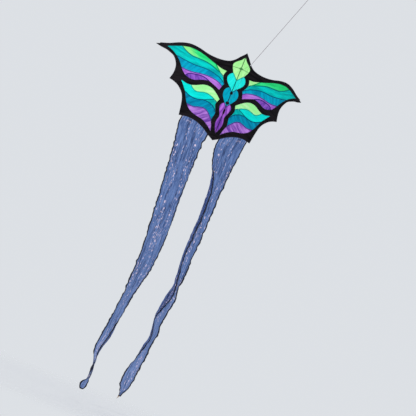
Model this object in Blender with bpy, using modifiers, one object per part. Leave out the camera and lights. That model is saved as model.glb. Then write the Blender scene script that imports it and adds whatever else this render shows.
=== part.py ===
"""Single-line winged dragon kite: bowed patchwork sail, rod frame, three-part bridle and two streamer tails.

Metres, +Z along the spine towards the nose, X across the wings, +Y out of the back of the sail.
The origin is the end of the spine at the nose, on the spine rod's axis. Outlines are drawn flat, in
millimetres across (s) and down from the nose (z), and are then wrapped round the bow that the wind
gives the wings.
"""

import math

import bmesh
import bpy
from mathutils import Matrix, Vector

MM = 0.001

# The sail
BOW_RADIUS = 1.236  # the wings bend back round this radius
CLOTH = 0.0004
SEAM_GAP = 0.0003
OUTLINE_STEP = 46.0  # mm between points along a drawn curve
BOW_STRIP = 0.080  # the bow is faceted in strips of this width
FOLD_S = 0.0065  # each wing folds on a line this far from the spine
FOLD_GAP = 0.0005
MITRE_LIMIT = 3.0
FLAT_ANGLE = 1e-4

# The frame, all of it behind the sail
ROD_DEPTH = 0.0040  # from the sail to the middle of each rod
SAIL_Y = -ROD_DEPTH
SPINE_RADIUS = 0.0025
SPAR_RADIUS = 0.0020
BATTEN_RADIUS = 0.0015
ROD_CLEARANCE = 0.0003
ROD_STEP = 34.0  # mm between points along a bowed rod
SPINE_TOP, SPINE_BOTTOM = -0.0023, -0.947
SPINE_CAP_LENGTH = 0.014
HUB_Z = -0.169
HUB_SIZE = (0.0100, 0.0078, 0.0280)
HUB_BACK = 0.0045
JOINER_S = (16.0, 46.0)
SPAR_S = (21.0, 908.0)
TIP_CAP_LENGTH = 0.016
CAP_WALL = 0.0010
SLEEVE_WALL = 0.0005
SLEEVE_NECK = 0.0020  # half the width of the neck between the sleeve's strip and its tunnel
SLEEVE_WINDOW_MARGIN = 0.003
TUNNEL_STEPS = 20

# The bridle and the line
TOW_POINT = Vector((0.0, -0.254, -0.107))
LINE_DIRECTION = Vector((0.0, -0.757, 0.653)).normalized()
LINE_LENGTH = 1.27
LEG_RADIUS = 0.0008
LINE_RADIUS = 0.0009
UPPER_LEG_Z = -0.190
LOWER_LEG_Z = -0.545
UPPER_PATCH = (-0.437, 0.026)  # middle and height
LOWER_PATCH = (LOWER_LEG_Z, 0.030)
BRIDLE_Y = -0.0072  # the legs' feet, just in front of the patches
RING_RADIUS, RING_WIRE = 0.0060, 0.0012
HOOK_WIRE = 0.0008
HOOK_WIDTH = 0.0040
HOOK_NEAR, HOOK_FAR = 0.0025, 0.0290
GATE_END_GAPS = (0.0014, 0.0018)  # between the gate's two ends and the bends of the hook
BARREL_RADIUS, BARREL_LENGTH = 0.0022, 0.0080

# The tails
TAIL_CLOTH = 0.0003
TAIL_DEPTH = 0.026  # the streamers hang this far behind the spine
FREE_TAIL_TOP, FREE_TAIL_BLEND = -1.35, 0.40  # below this they hang flat, and the bow fades in above it
TAIL_ROOT_Y, TAIL_ROOT_Z = 0.030, -0.820  # the straight axis that runs nearest to the bowed seam
TAIL_JOINTS = (-1.80, -2.75)
TAIL_GAP = 0.0015
TAIL_ROWS = 9
TAIL_COLUMNS = 5

COLOURS = {
    "black": (0.012, 0.011, 0.014),
    "lime": (0.38, 0.95, 0.35),
    "emerald": (0.02, 0.62, 0.20),
    "aqua": (0.01, 0.62, 0.60),
    "teal": (0.01, 0.42, 0.44),
    "blue": (0.01, 0.35, 0.58),
    "lilac": (0.48, 0.18, 0.72),
    "purple": (0.20, 0.06, 0.45),
    "streamer": (0.06, 0.09, 0.28),
    "carbon": (0.02, 0.02, 0.022),
    "vinyl": (0.02, 0.035, 0.02),
    "cord": (0.75, 0.70, 0.72),
    "steel": (0.60, 0.60, 0.62),
}

# Long curves of the half pattern, as points (s, z) that each passes smoothly through.
CURVES = {
    "leading_edge": [
        (0, 0), (50, 53), (90, 99), (130, 130), (180, 148), (250, 158), (330, 157),
        (400, 147), (470, 131), (550, 123), (620, 131), (700, 157), (800, 202), (930, 250),
    ],
    "wing_hollow": [
        (930, 250), (860, 263), (800, 269), (745, 284), (700, 304), (662, 345),
        (640, 393), (634, 450), (640, 492), (651, 532),
    ],
    "side_hollow": [
        (651, 532), (603, 542), (555, 560), (515, 588), (480, 625), (455, 675),
        (438, 745), (430, 795), (422, 843),
    ],
    "tail_hollow": [
        (422, 843), (385, 836), (330, 828), (270, 831), (200, 848), (130, 879), (70, 917), (0, 955),
    ],
    "upper_top": [
        (131, 246), (190, 241), (262, 222), (330, 202), (410, 178), (490, 163), (560, 160),
        (610, 168), (650, 178), (720, 203), (800, 233),
    ],
    "upper_bottom": [
        (800, 233), (760, 243), (715, 262), (672, 288), (632, 318), (603, 350),
        (576, 383), (548, 413), (510, 440), (460, 454), (410, 453), (360, 433),
        (310, 415), (262, 408), (210, 423), (133, 452),
    ],
    "upper_inner_low": [(133, 452), (119, 407), (105, 377)],
    "upper_inner_high": [(105, 377), (130, 343), (145, 306), (142, 272), (131, 246)],
    "lime_edge": [(262, 222), (225, 252), (185, 285), (145, 306)],
    "emerald_edge": [
        (185, 285), (240, 269), (300, 249), (360, 237), (440, 234), (510, 232),
        (560, 221), (605, 203), (650, 178),
    ],
    "aqua_edge": [
        (105, 377), (160, 341), (220, 321), (290, 306), (360, 303), (450, 309), (530, 304), (672, 288),
    ],
    "blue_edge": [
        (119, 407), (160, 385), (220, 369), (300, 364), (370, 370), (440, 382), (500, 387), (576, 383),
    ],
    "lilac_edge": [(262, 408), (305, 393), (355, 387), (420, 396), (480, 411), (510, 440)],
    "lower_top": [
        (92, 540), (130, 509), (175, 478), (215, 461), (260, 456), (310, 467), (370, 496),
        (420, 512), (470, 514), (535, 500),
    ],
    "lower_right": [
        (535, 500), (505, 530), (475, 566), (450, 597), (425, 645), (388, 705),
        (350, 744), (300, 770), (240, 785), (180, 796), (110, 832), (55, 874),
    ],
    "lower_inner": [
        (55, 874), (72, 815), (91, 768), (84, 718), (80, 678), (100, 636),
        (111, 600), (106, 578), (92, 540),
    ],
    "lower_lime_edge": [
        (106, 578), (140, 560), (180, 544), (225, 533), (270, 536), (335, 553), (380, 544), (420, 512),
    ],
    "lower_aqua_edge": [
        (140, 560), (190, 581), (250, 607), (300, 622), (350, 626), (400, 617), (450, 597),
    ],
    "teal_edge": [(80, 678), (115, 640), (160, 616), (205, 608), (250, 607)],
    "lower_blue_edge": [
        (91, 768), (125, 733), (165, 698), (215, 683), (265, 694), (320, 709), (388, 705),
    ],
    "head_side": [(0, 45), (30, 84), (62, 110), (88, 136), (96, 160), (84, 195), (61, 236)],
    "thorax_side": [(61, 236), (88, 259), (102, 296), (86, 338), (39, 386)],
    "abdomen_side": [(39, 386), (66, 406), (82, 438), (78, 484), (54, 520), (31, 551)],
    "leaf_side": [
        (31, 551), (54, 573), (64, 600), (50, 644), (29, 696), (38, 742), (39, 782), (24, 828), (0, 880),
    ],
    "head_edge": [(61, 236), (0, 300)],
    "thorax_edge": [(39, 386), (0, 430)],
    "abdomen_edge": [(31, 551), (0, 592)],
}

# Each panel is a loop of stretches: (curve, its first point, its last point).
PANELS = {
    "upper_lime": ("lime", [
        ("upper_top", 0, 2), ("lime_edge", 0, 3), ("upper_inner_high", 2, 4)]),
    "upper_emerald": ("emerald", [
        ("upper_top", 2, 8), ("emerald_edge", 8, 0), ("lime_edge", 2, 0)]),
    "upper_aqua": ("aqua", [
        ("upper_top", 8, 10), ("upper_bottom", 0, 3), ("aqua_edge", 7, 0),
        ("upper_inner_high", 0, 2), ("lime_edge", 3, 2), ("emerald_edge", 0, 8)]),
    "upper_blue": ("blue", [
        ("upper_bottom", 3, 6), ("blue_edge", 7, 0), ("upper_inner_low", 1, 2), ("aqua_edge", 0, 7)]),
    "upper_lilac": ("lilac", [
        ("upper_bottom", 6, 8), ("lilac_edge", 5, 0), ("upper_bottom", 13, 15),
        ("upper_inner_low", 0, 1), ("blue_edge", 0, 7)]),
    "upper_purple": ("purple", [("upper_bottom", 8, 13), ("lilac_edge", 0, 5)]),
    "lower_lime": ("lime", [
        ("lower_top", 0, 7), ("lower_lime_edge", 7, 0), ("lower_inner", 7, 8)]),
    "lower_aqua": ("aqua", [
        ("lower_top", 7, 9), ("lower_right", 0, 3), ("lower_aqua_edge", 6, 0), ("lower_lime_edge", 1, 7)]),
    "lower_teal": ("teal", [
        ("lower_lime_edge", 0, 1), ("lower_aqua_edge", 0, 2), ("teal_edge", 4, 0), ("lower_inner", 4, 7)]),
    "lower_blue": ("blue", [
        ("lower_aqua_edge", 2, 6), ("lower_right", 3, 5), ("lower_blue_edge", 6, 0),
        ("lower_inner", 2, 4), ("teal_edge", 0, 4)]),
    "lower_purple": ("purple", [
        ("lower_right", 5, 11), ("lower_inner", 0, 2), ("lower_blue_edge", 0, 6)]),
    "head": ("lime", [("head_side", 0, 6), ("head_edge", 0, 1)]),
    "thorax": ("aqua", [("thorax_side", 0, 4), ("thorax_edge", 0, 1), ("head_edge", 1, 0)]),
    "abdomen": ("blue", [("abdomen_side", 0, 5), ("abdomen_edge", 0, 1), ("thorax_edge", 1, 0)]),
    "tail_leaf": ("purple", [("leaf_side", 0, 8), ("abdomen_edge", 1, 0)]),
}
BORDER_OUTER = [
    ("leading_edge", 0, 13), ("wing_hollow", 0, 9), ("side_hollow", 0, 8), ("tail_hollow", 0, 7),
    ("leaf_side", 8, 0), ("abdomen_side", 5, 0), ("thorax_side", 4, 0), ("head_side", 6, 0),
]
BORDER_OPENINGS = [
    [("upper_top", 0, 10), ("upper_bottom", 0, 15), ("upper_inner_low", 0, 2), ("upper_inner_high", 0, 4)],
    [("lower_top", 0, 9), ("lower_right", 0, 11), ("lower_inner", 0, 8)],
]

# Rods, drawn on the same half pattern.
SPAR_LINE = [
    (0, 169), (80, 178), (150, 183), (230, 182), (300, 176), (393, 163), (470, 146), (550, 139),
    (620, 147), (700, 171), (800, 212), (930, 250),
]
BATTEN_LINE = [
    (88, 488), (150, 462), (215, 440), (262, 434), (320, 447), (393, 473), (470, 488), (550, 500), (640, 527),
]

# Tail edges: (height, distance of the inner edge from the centre, distance of the outer edge).
TAIL_EDGES = {
    -1: [
        (-0.95, 0.070, 0.378), (-1.11, 0.076, 0.358), (-1.42, 0.074, 0.324), (-1.95, 0.058, 0.288),
        (-2.45, 0.085, 0.266), (-2.87, 0.166, 0.272), (-3.24, 0.240, 0.308), (-3.45, 0.270, 0.306),
        (-3.66, 0.232, 0.262), (-3.80, 0.288, 0.318),
    ],
    1: [
        (-0.95, 0.058, 0.352), (-1.15, 0.094, 0.334), (-1.42, 0.166, 0.318), (-1.95, 0.180, 0.306),
        (-2.45, 0.200, 0.276), (-2.80, 0.156, 0.248), (-3.08, 0.166, 0.240), (-3.31, 0.126, 0.216),
        (-3.55, 0.084, 0.186), (-3.73, 0.104, 0.146),
    ],
}
TAIL_SEWN = (62.0, 383.0)  # each tail is sewn under the tail hollow between these two distances out

SIDES = {"left": -1, "right": 1}


# ---------------------------------------------------------------- scene and small helpers

def clear_scene():
    for obj in list(bpy.data.objects):
        bpy.data.objects.remove(obj, do_unlink=True)


def new_collection(name):
    collection = bpy.data.collections.new(name)
    bpy.context.scene.collection.children.link(collection)
    return collection


def material(colour, roughness=0.7, metallic=0.0):
    found = bpy.data.materials.get(colour)
    if found:
        return found
    made = bpy.data.materials.new(colour)
    made.use_nodes = True
    shader = made.node_tree.nodes["Principled BSDF"]
    shader.inputs["Base Color"].default_value = (*COLOURS[colour], 1.0)
    shader.inputs["Roughness"].default_value = roughness
    shader.inputs["Metallic"].default_value = metallic
    return made


def add_part(name, data, colour, joint=None, roughness=0.7, metallic=0.0):
    """Puts a mesh or curve in the kite's collection, coloured, and hangs it on its joint's empty."""
    obj = bpy.data.objects.new(name, data)
    KITE.objects.link(obj)
    data.materials.append(material(colour, roughness, metallic))
    if joint:
        obj.parent = joint
        obj.matrix_parent_inverse = joint.matrix_world.inverted()
    return obj


def add_joint(name, location, parent=None):
    """An empty on a joint's axis, which the moving pieces hang on."""
    empty = bpy.data.objects.new(name, None)
    empty.empty_display_size = 0.03
    empty.location = location
    KITE.objects.link(empty)
    bpy.context.view_layer.update()
    if parent:
        empty.parent = parent
        empty.matrix_parent_inverse = parent.matrix_world.inverted()
    bpy.context.view_layer.update()
    return empty


def evaluated_mesh(obj, name):
    """The object's shape as a mesh of its own, with the loose caps of a curve welded."""
    bpy.context.view_layer.update()
    graph = bpy.context.evaluated_depsgraph_get()
    mesh = bpy.data.meshes.new_from_object(obj.evaluated_get(graph))
    mesh.name = name
    shape = bmesh.new()
    shape.from_mesh(mesh)
    bmesh.ops.remove_doubles(shape, verts=shape.verts, dist=1e-6)
    bmesh.ops.recalc_face_normals(shape, faces=shape.faces)
    shape.to_mesh(mesh)
    shape.free()
    return mesh


def smooth_shade(obj, angle=40.0):
    obj.data.shade_smooth()
    obj.data.set_sharp_from_angle(angle=math.radians(angle))


# ---------------------------------------------------------------- curves of the flat pattern

def spline_point(p0, p1, p2, p3, t):
    """A point of the smooth curve between p1 and p2, at share t of the way."""
    ends = 2 * p1 + (p2 - p0) * t
    bend = (2 * p0 - 5 * p1 + 4 * p2 - p3) * t * t
    twist = (3 * p1 - p0 - 3 * p2 + p3) * t * t * t
    return (ends + bend + twist) / 2


def smooth_line(points, step):
    """The smooth curve through the points, as one list of samples for each stretch between two of them."""
    knots = [Vector(p) for p in points]
    knots = [2 * knots[0] - knots[1]] + knots + [2 * knots[-1] - knots[-2]]
    stretches = []
    for p0, p1, p2, p3 in zip(knots, knots[1:], knots[2:], knots[3:]):
        count = max(1, math.ceil((p2 - p1).length / step))
        stretches.append([spline_point(p0, p1, p2, p3, i / count) for i in range(count)])
    return stretches, knots[-2]


def stretch(curve, first, last):
    """Samples of a named curve from one of its points up to, and not including, another."""
    stretches, end = smooth_line(CURVES[curve], OUTLINE_STEP)
    whole = [p for part in stretches for p in part] + [end]
    starts = [0]
    for part in stretches:
        starts.append(starts[-1] + len(part))
    if first < last:
        return whole[starts[first]:starts[last]]
    return whole[starts[last] + 1:starts[first] + 1][::-1]


def loop_of(stretches):
    return [p for curve, first, last in stretches for p in stretch(curve, first, last)]


def signed_area(loop):
    return sum(a.x * b.y - b.x * a.y for a, b in zip(loop, loop[1:] + loop[:1])) / 2


def seam_allowance(loop, opening=False):
    """Moves a loop into its own cloth by half the seam gap, so that neighbouring panels stay apart."""
    if (signed_area(loop) < 0) != opening:
        loop = loop[::-1]
    moved = []
    for before, here, after in zip(loop[-1:] + loop[:-1], loop, loop[1:] + loop[:1]):
        into = (here - before).normalized()
        out = (after - here).normalized()
        normal = Vector((-into.y - out.y, into.x + out.x))
        half_turn = max(normal.length / 2, 1 / MITRE_LIMIT)
        shift = SEAM_GAP / 2 / MM / half_turn
        moved.append(here + normal.normalized() * shift)
    return moved


# ---------------------------------------------------------------- the bow

def bow_point(s, down, depth=0.0, side=1):
    """A point of the bowed sail, from its flat place in metres, set back behind the cloth by depth."""
    angle = s / BOW_RADIUS
    x = BOW_RADIUS * math.sin(angle) - depth * math.sin(angle)
    y = SAIL_Y + BOW_RADIUS * (1 - math.cos(angle)) + depth * math.cos(angle)
    return Vector((side * x, y, -down))


def filled_mesh(name, loops, extrude=0.0):
    """A flat sheet in the XY plane, filled between its outline and its openings, or that sheet made solid."""
    curve = bpy.data.curves.new(name, "CURVE")
    curve.dimensions = "2D"
    curve.fill_mode = "BOTH" if extrude else "FRONT"
    curve.extrude = extrude
    for loop in loops:
        spline = curve.splines.new("POLY")
        spline.points.add(len(loop) - 1)
        for point, place in zip(spline.points, loop):
            point.co = (place.x * MM, -place.y * MM, 0.0, 1.0)
        spline.use_cyclic_u = True
    helper = bpy.data.objects.new(name, curve)
    KITE.objects.link(helper)
    mesh = evaluated_mesh(helper, name)
    bpy.data.objects.remove(helper, do_unlink=True)
    bpy.data.curves.remove(curve)
    return mesh


def cut_into_strips(shape):
    """Trims the cloth at the fold beside the spine, and divides it where the bow is faceted."""
    bmesh.ops.dissolve_limit(shape, angle_limit=FLAT_ANGLE, verts=shape.verts, edges=shape.edges)

    def bisect(s, trim):
        everything = list(shape.verts) + list(shape.edges) + list(shape.faces)
        bmesh.ops.bisect_plane(
            shape, geom=everything, dist=1e-5, plane_co=(s, 0, 0), plane_no=(1, 0, 0), clear_inner=trim)
    bisect(FOLD_S + FOLD_GAP, True)
    widest = max(v.co.x for v in shape.verts)
    for number in range(1, math.ceil(widest / BOW_STRIP)):
        bisect(number * BOW_STRIP, False)


def bowed_sheet(name, loops, side, colour, joint):
    """One piece of sailcloth: filled, bowed and given its thickness."""
    mesh = filled_mesh(name, loops)
    shape = bmesh.new()
    shape.from_mesh(mesh)
    cut_into_strips(shape)
    bmesh.ops.triangulate(shape, faces=shape.faces)
    for vertex in shape.verts:
        vertex.co = bow_point(vertex.co.x, -vertex.co.y, side=side)
    if side > 0:
        bmesh.ops.reverse_faces(shape, faces=shape.faces)
    shape.to_mesh(mesh)
    shape.free()
    sheet = add_part(name, mesh, colour, joint)
    thicken(sheet, CLOTH)
    return sheet


def thicken(obj, thickness):
    solidify = obj.modifiers.new("Cloth thickness", "SOLIDIFY")
    solidify.thickness = thickness
    solidify.offset = 0.0


def make_border(side_name, side, joint):
    outer = seam_allowance(loop_of(BORDER_OUTER))
    openings = [seam_allowance(loop_of(loop), opening=True) for loop in BORDER_OPENINGS]
    bowed_sheet(f"{side_name}_wing_border", [outer] + openings, side, "black", joint)


def make_panels(side_name, side, joint):
    for name, (colour, stretches) in PANELS.items():
        loop = seam_allowance(loop_of(stretches))
        bowed_sheet(f"{side_name}_{name}_panel", [loop], side, colour, joint)


# ---------------------------------------------------------------- rods, cords and turned pieces

def rod_path(line, first_s, last_s, side):
    """The middle of a rod that lies behind the bowed sail, between two distances out from the spine."""
    stretches, end = smooth_line(line, ROD_STEP)
    flat = [p for part in stretches for p in part] + [end]
    kept = [height_at(flat, first_s)]
    kept += [p for p in flat if first_s + 1.0 < p.x < last_s - 1.0]
    kept.append(height_at(flat, last_s))
    return [bow_point(p.x * MM, p.y * MM, ROD_DEPTH, side) for p in kept]


def height_at(flat, s):
    """The point of a flat line at distance s out from the spine."""
    for a, b in zip(flat, flat[1:]):
        if a.x <= s <= b.x:
            return a.lerp(b, (s - a.x) / (b.x - a.x))
    return flat[0] if s < flat[0].x else flat[-1]


def cord(name, points, radius, colour, joint=None, sides=1, roughness=0.6, metallic=0.0):
    """A rod, cord or wire along the points."""
    curve = bpy.data.curves.new(name, "CURVE")
    curve.dimensions = "3D"
    curve.bevel_depth = radius
    curve.bevel_resolution = sides
    curve.use_fill_caps = True
    spline = curve.splines.new("POLY")
    spline.points.add(len(points) - 1)
    for point, place in zip(spline.points, points):
        point.co = (*place, 1.0)
    return add_part(name, curve, colour, joint, roughness, metallic)


def turned(name, profile, place, direction, colour, joint=None, closed=False, steps=20):
    """A turned piece: the profile, as (radius, height), spun about a direction through a place."""
    mesh = bpy.data.meshes.new(name)
    edges = [(i, i + 1) for i in range(len(profile) - 1)]
    if closed:
        edges.append((len(profile) - 1, 0))
    mesh.from_pydata([(radius, 0.0, height) for radius, height in profile], edges, [])
    obj = bpy.data.objects.new(name, mesh)
    KITE.objects.link(obj)
    turn = direction.to_track_quat("Z", "Y").to_matrix().to_4x4()
    obj.matrix_world = Matrix.Translation(place) @ turn
    screw = obj.modifiers.new("Turn", "SCREW")
    screw.steps = steps
    screw.render_steps = steps
    screw.use_merge_vertices = True
    screw.merge_threshold = 1e-5
    shape = evaluated_mesh(obj, name)
    shape.transform(obj.matrix_world)
    bpy.data.objects.remove(obj, do_unlink=True)
    made = add_part(name, shape, colour, joint)
    smooth_shade(made)
    return made


def end_cap(name, tip, direction, rod_radius, length, joint=None):
    """A vinyl cup whose closed end is at tip; direction points out of the rod's end."""
    inner = rod_radius + ROD_CLEARANCE
    outer = inner + CAP_WALL
    floor = length - 2 * CAP_WALL
    profile = [(0, length), (outer * 0.7, length), (outer, floor), (outer, 0), (inner, 0), (inner, floor), (0, floor)]
    turned(name, profile, tip - direction * length, direction, "vinyl", joint)


def make_wing_frame(side_name, side, joint):
    spar = rod_path(SPAR_LINE, *SPAR_S, side)
    cord(f"{side_name}_wing_spar", spar, SPAR_RADIUS, "carbon", joint, roughness=0.35)
    batten = rod_path(BATTEN_LINE, BATTEN_LINE[0][0], BATTEN_LINE[-1][0], side)
    cord(f"{side_name}_batten", batten, BATTEN_RADIUS, "carbon", joint, roughness=0.35)
    outward = (spar[-1] - spar[-2]).normalized()
    rod_end_gap = 2 * CAP_WALL + ROD_CLEARANCE
    end_cap(f"{side_name}_tip_cap", spar[-1] + outward * rod_end_gap, outward, SPAR_RADIUS, TIP_CAP_LENGTH, joint)
    near, far = (rod_path(SPAR_LINE, s, s + 2.0, side)[0] for s in JOINER_S)
    along = far - near
    inner = SPAR_RADIUS + ROD_CLEARANCE
    outer = inner + CAP_WALL
    wall = [(outer, along.length), (outer, 0), (inner, 0), (inner, along.length)]
    turned(f"{side_name}_spar_joiner", wall, near, along.normalized(), "vinyl", joint, closed=True)


# ---------------------------------------------------------------- the spine and its fittings

def box_mesh(name, low, high, bevel=0.0):
    """A block between two corners, with its edges rounded over."""
    shape = bmesh.new()
    bmesh.ops.create_cube(shape, size=1.0)
    size = Vector(high) - Vector(low)
    bmesh.ops.scale(shape, vec=size, verts=shape.verts)
    bmesh.ops.translate(shape, vec=(Vector(low) + Vector(high)) / 2, verts=shape.verts)
    if bevel:
        bmesh.ops.bevel(shape, geom=shape.edges, offset=bevel, segments=2, affect="EDGES", profile=0.5)
    mesh = bpy.data.meshes.new(name)
    shape.to_mesh(mesh)
    shape.free()
    return mesh


def cutter(name, mesh):
    obj = bpy.data.objects.new(name, mesh)
    CUTTERS.objects.link(obj)
    obj.hide_render = True
    obj.display_type = "WIRE"
    return obj


def cut(obj, tool):
    boolean = obj.modifiers.new("Cut", "BOOLEAN")
    boolean.operation = "DIFFERENCE"
    boolean.solver = "EXACT"
    boolean.object = tool


def cylinder_mesh(name, radius, low, high, segments=24):
    """An upright cylinder round the spine rod's axis, between two heights."""
    shape = bmesh.new()
    bmesh.ops.create_cone(
        shape, cap_ends=True, segments=segments, radius1=radius, radius2=radius, depth=high - low)
    bmesh.ops.translate(shape, vec=(0.0, 0.0, (low + high) / 2), verts=shape.verts)
    mesh = bpy.data.meshes.new(name)
    shape.to_mesh(mesh)
    shape.free()
    return mesh


def make_spine():
    ends = [Vector((0, 0, SPINE_TOP)), Vector((0, 0, SPINE_BOTTOM))]
    cord("spine_rod", ends, SPINE_RADIUS, "carbon", sides=2, roughness=0.35)
    up = Vector((0.0, 0.0, 1.0))
    gap = 2 * CAP_WALL + ROD_CLEARANCE
    end_cap("nose_cap", ends[0] + up * gap, up, SPINE_RADIUS, SPINE_CAP_LENGTH)
    end_cap("tail_cap", ends[1] - up * gap, -up, SPINE_RADIUS, SPINE_CAP_LENGTH)


def sleeve_section():
    """The sleeve cut across: a flat strip with a neck and a round tunnel behind it, and the tunnel's bore."""
    half_width, half_neck = FOLD_S - FOLD_GAP, SLEEVE_NECK
    front, back = SAIL_Y - CLOTH / 2, SAIL_Y + CLOTH / 2
    bore = SPINE_RADIUS + ROD_CLEARANCE
    outer = bore + SLEEVE_WALL
    lowest = math.asin(half_neck / outer)
    outline = [(-half_neck, back), (-half_width, back), (-half_width, front)]
    outline += [(half_width, front), (half_width, back), (half_neck, back)]
    for i in range(TUNNEL_STEPS + 1):
        angle = lowest + (2 * math.pi - 2 * lowest) * i / TUNNEL_STEPS
        outline.append((outer * math.sin(angle), -outer * math.cos(angle)))
    hole = []
    for i in range(TUNNEL_STEPS):
        angle = 2 * math.pi * i / TUNNEL_STEPS
        hole.append((bore * math.sin(angle), -bore * math.cos(angle)))
    return [[Vector((x / MM, -y / MM)) for x, y in loop] for loop in (outline, hole)]


def make_spine_sleeve():
    """The strip of cloth over the spine with its tunnel for the rod, open behind the centre fitting."""
    top, bottom = SPINE_TOP - SPINE_CAP_LENGTH, SPINE_BOTTOM + SPINE_CAP_LENGTH
    mesh = filled_mesh("spine_sleeve", sleeve_section(), extrude=(top - bottom) / 2)
    mesh.transform(Matrix.Translation((0.0, 0.0, (top + bottom) / 2)))
    sleeve = add_part("spine_sleeve", mesh, "black")
    half_window, reach = HUB_SIZE[2] / 2 + SLEEVE_WINDOW_MARGIN, HUB_SIZE[0]
    low, high = (-reach, SAIL_Y + CLOTH, HUB_Z - half_window), (reach, reach, HUB_Z + half_window)
    cut(sleeve, cutter("sleeve_window", box_mesh("sleeve_window", low, high)))


def make_centre_fitting():
    half_width, depth, height = HUB_SIZE[0] / 2, HUB_SIZE[1], HUB_SIZE[2] / 2
    block = box_mesh(
        "centre_fitting", (-half_width, HUB_BACK - depth, HUB_Z - height),
        (half_width, HUB_BACK, HUB_Z + height), bevel=0.0008)
    fitting = add_part("centre_fitting", block, "vinyl")
    low, high = HUB_Z - HUB_SIZE[2], HUB_Z + HUB_SIZE[2]
    bore = cylinder_mesh("fitting_bore", SPINE_RADIUS + ROD_CLEARANCE, low, high)
    cut(fitting, cutter("fitting_bore", bore))


def make_bridle_patches():
    """Doubled cloth on the front of the sail where the spine is tied in."""
    half_width = FOLD_S - 2 * FOLD_GAP
    front = SAIL_Y - CLOTH / 2 - SEAM_GAP
    for name, (middle, height) in (("upper_patch", UPPER_PATCH), ("lower_patch", LOWER_PATCH)):
        mesh = box_mesh(
            name, (-half_width, front - 2 * CLOTH, middle - height / 2), (half_width, front, middle + height / 2))
        add_part(name, mesh, "black")


# ---------------------------------------------------------------- the bridle and the flying line

def along_line(distance, across=0.0):
    """A point at a distance from the tow ring's middle towards the flyer, and across the hook's plane."""
    return TOW_POINT + LINE_DIRECTION * distance + Vector((across, 0.0, 0.0))


def make_bridle(joint):
    ring_edge = RING_RADIUS + RING_WIRE + 2 * ROD_CLEARANCE
    for name, height in (("upper_bridle_leg", UPPER_LEG_Z), ("lower_bridle_leg", LOWER_LEG_Z)):
        foot = Vector((0.0, BRIDLE_Y, height))
        towards = (foot - TOW_POINT).normalized()
        cord(name, [foot, TOW_POINT + towards * ring_edge], LEG_RADIUS, "cord", joint)
    bpy.ops.mesh.primitive_torus_add(
        major_radius=RING_RADIUS, minor_radius=RING_WIRE, major_segments=24, minor_segments=8)
    helper = bpy.context.object
    mesh = helper.data
    bpy.data.objects.remove(helper, do_unlink=True)
    mesh.transform(Matrix.Translation(TOW_POINT) @ Matrix.Rotation(math.pi / 2, 4, "Y"))
    ring = add_part("tow_ring", mesh, "steel", joint, roughness=0.25, metallic=1.0)
    smooth_shade(ring)


def half_turn(middle, start_degrees, count=8):
    """Points round half the hook's width, from a start angle, counter to the across direction."""
    points = []
    for i in range(count + 1):
        angle = math.radians(start_degrees) + math.pi * i / count
        points.append(along_line(middle + HOOK_WIDTH * math.sin(angle), HOOK_WIDTH * math.cos(angle)))
    return points


def make_snap(snap_joint, gate_joint, gate_span):
    """The hook that holds the ring, its sprung gate and the swivel's barrel."""
    far_middle = HOOK_FAR - HOOK_WIDTH
    near_middle = HOOK_NEAR + HOOK_WIDTH
    wire = half_turn(far_middle, 0) + half_turn(near_middle, 180)
    cord("snap_hook", wire, HOOK_WIRE, "steel", snap_joint, roughness=0.25, metallic=1.0)
    gate = [along_line(distance, HOOK_WIDTH) for distance in gate_span]
    cord("snap_gate", gate, HOOK_WIRE, "steel", gate_joint, roughness=0.25, metallic=1.0)
    start = HOOK_FAR + HOOK_WIRE + ROD_CLEARANCE
    profile = [
        (0, BARREL_LENGTH), (BARREL_RADIUS * 0.6, BARREL_LENGTH), (BARREL_RADIUS, BARREL_LENGTH * 0.75),
        (BARREL_RADIUS, BARREL_LENGTH * 0.25), (BARREL_RADIUS * 0.6, 0), (0, 0),
    ]
    turned("swivel_barrel", profile, along_line(start), LINE_DIRECTION, "steel", snap_joint)
    return start + BARREL_LENGTH


def make_line(start, joint):
    ends = [along_line(start + ROD_CLEARANCE), along_line(LINE_LENGTH)]
    cord("flying_line", ends, LINE_RADIUS, "cord", joint)


# ---------------------------------------------------------------- the streamer tails

def tail_edge_at(side, height):
    """Distances of the two edges of a tail from the centre at a height, along smooth curves."""
    rows = TAIL_EDGES[side]
    for index in range(len(rows) - 1):
        upper, lower = rows[index], rows[index + 1]
        if upper[0] >= height >= lower[0]:
            before = rows[max(index - 1, 0)]
            after = rows[min(index + 2, len(rows) - 1)]
            share = (upper[0] - height) / (upper[0] - lower[0])
            point = spline_point(*(Vector(row[1:]) for row in (before, upper, lower, after)), share)
            return point.x, point.y
    nearest = rows[0] if height > rows[0][0] else rows[-1]
    return nearest[1], nearest[2]


def tail_depth(x, height):
    """How far back the streamer lies: with the bow where it is sewn on, flat further down."""
    bowed = BOW_RADIUS * (1 - math.sqrt(max(0.0, 1 - (x / BOW_RADIUS) ** 2)))
    share = min(max((height - FREE_TAIL_TOP) / FREE_TAIL_BLEND, 0.0), 1.0)
    share = share * share * (3 - 2 * share)
    return (SAIL_Y + bowed) * share + TAIL_DEPTH * (1 - share)


def sewn_height(s):
    """The height of the tail hollow's edge at a distance out, a seam gap below the cloth."""
    stretches, end = smooth_line(CURVES["tail_hollow"], OUTLINE_STEP)
    flat = ([p for part in stretches for p in part] + [end])[::-1]
    return -height_at(flat, s).y * MM - 2 * SEAM_GAP


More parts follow.
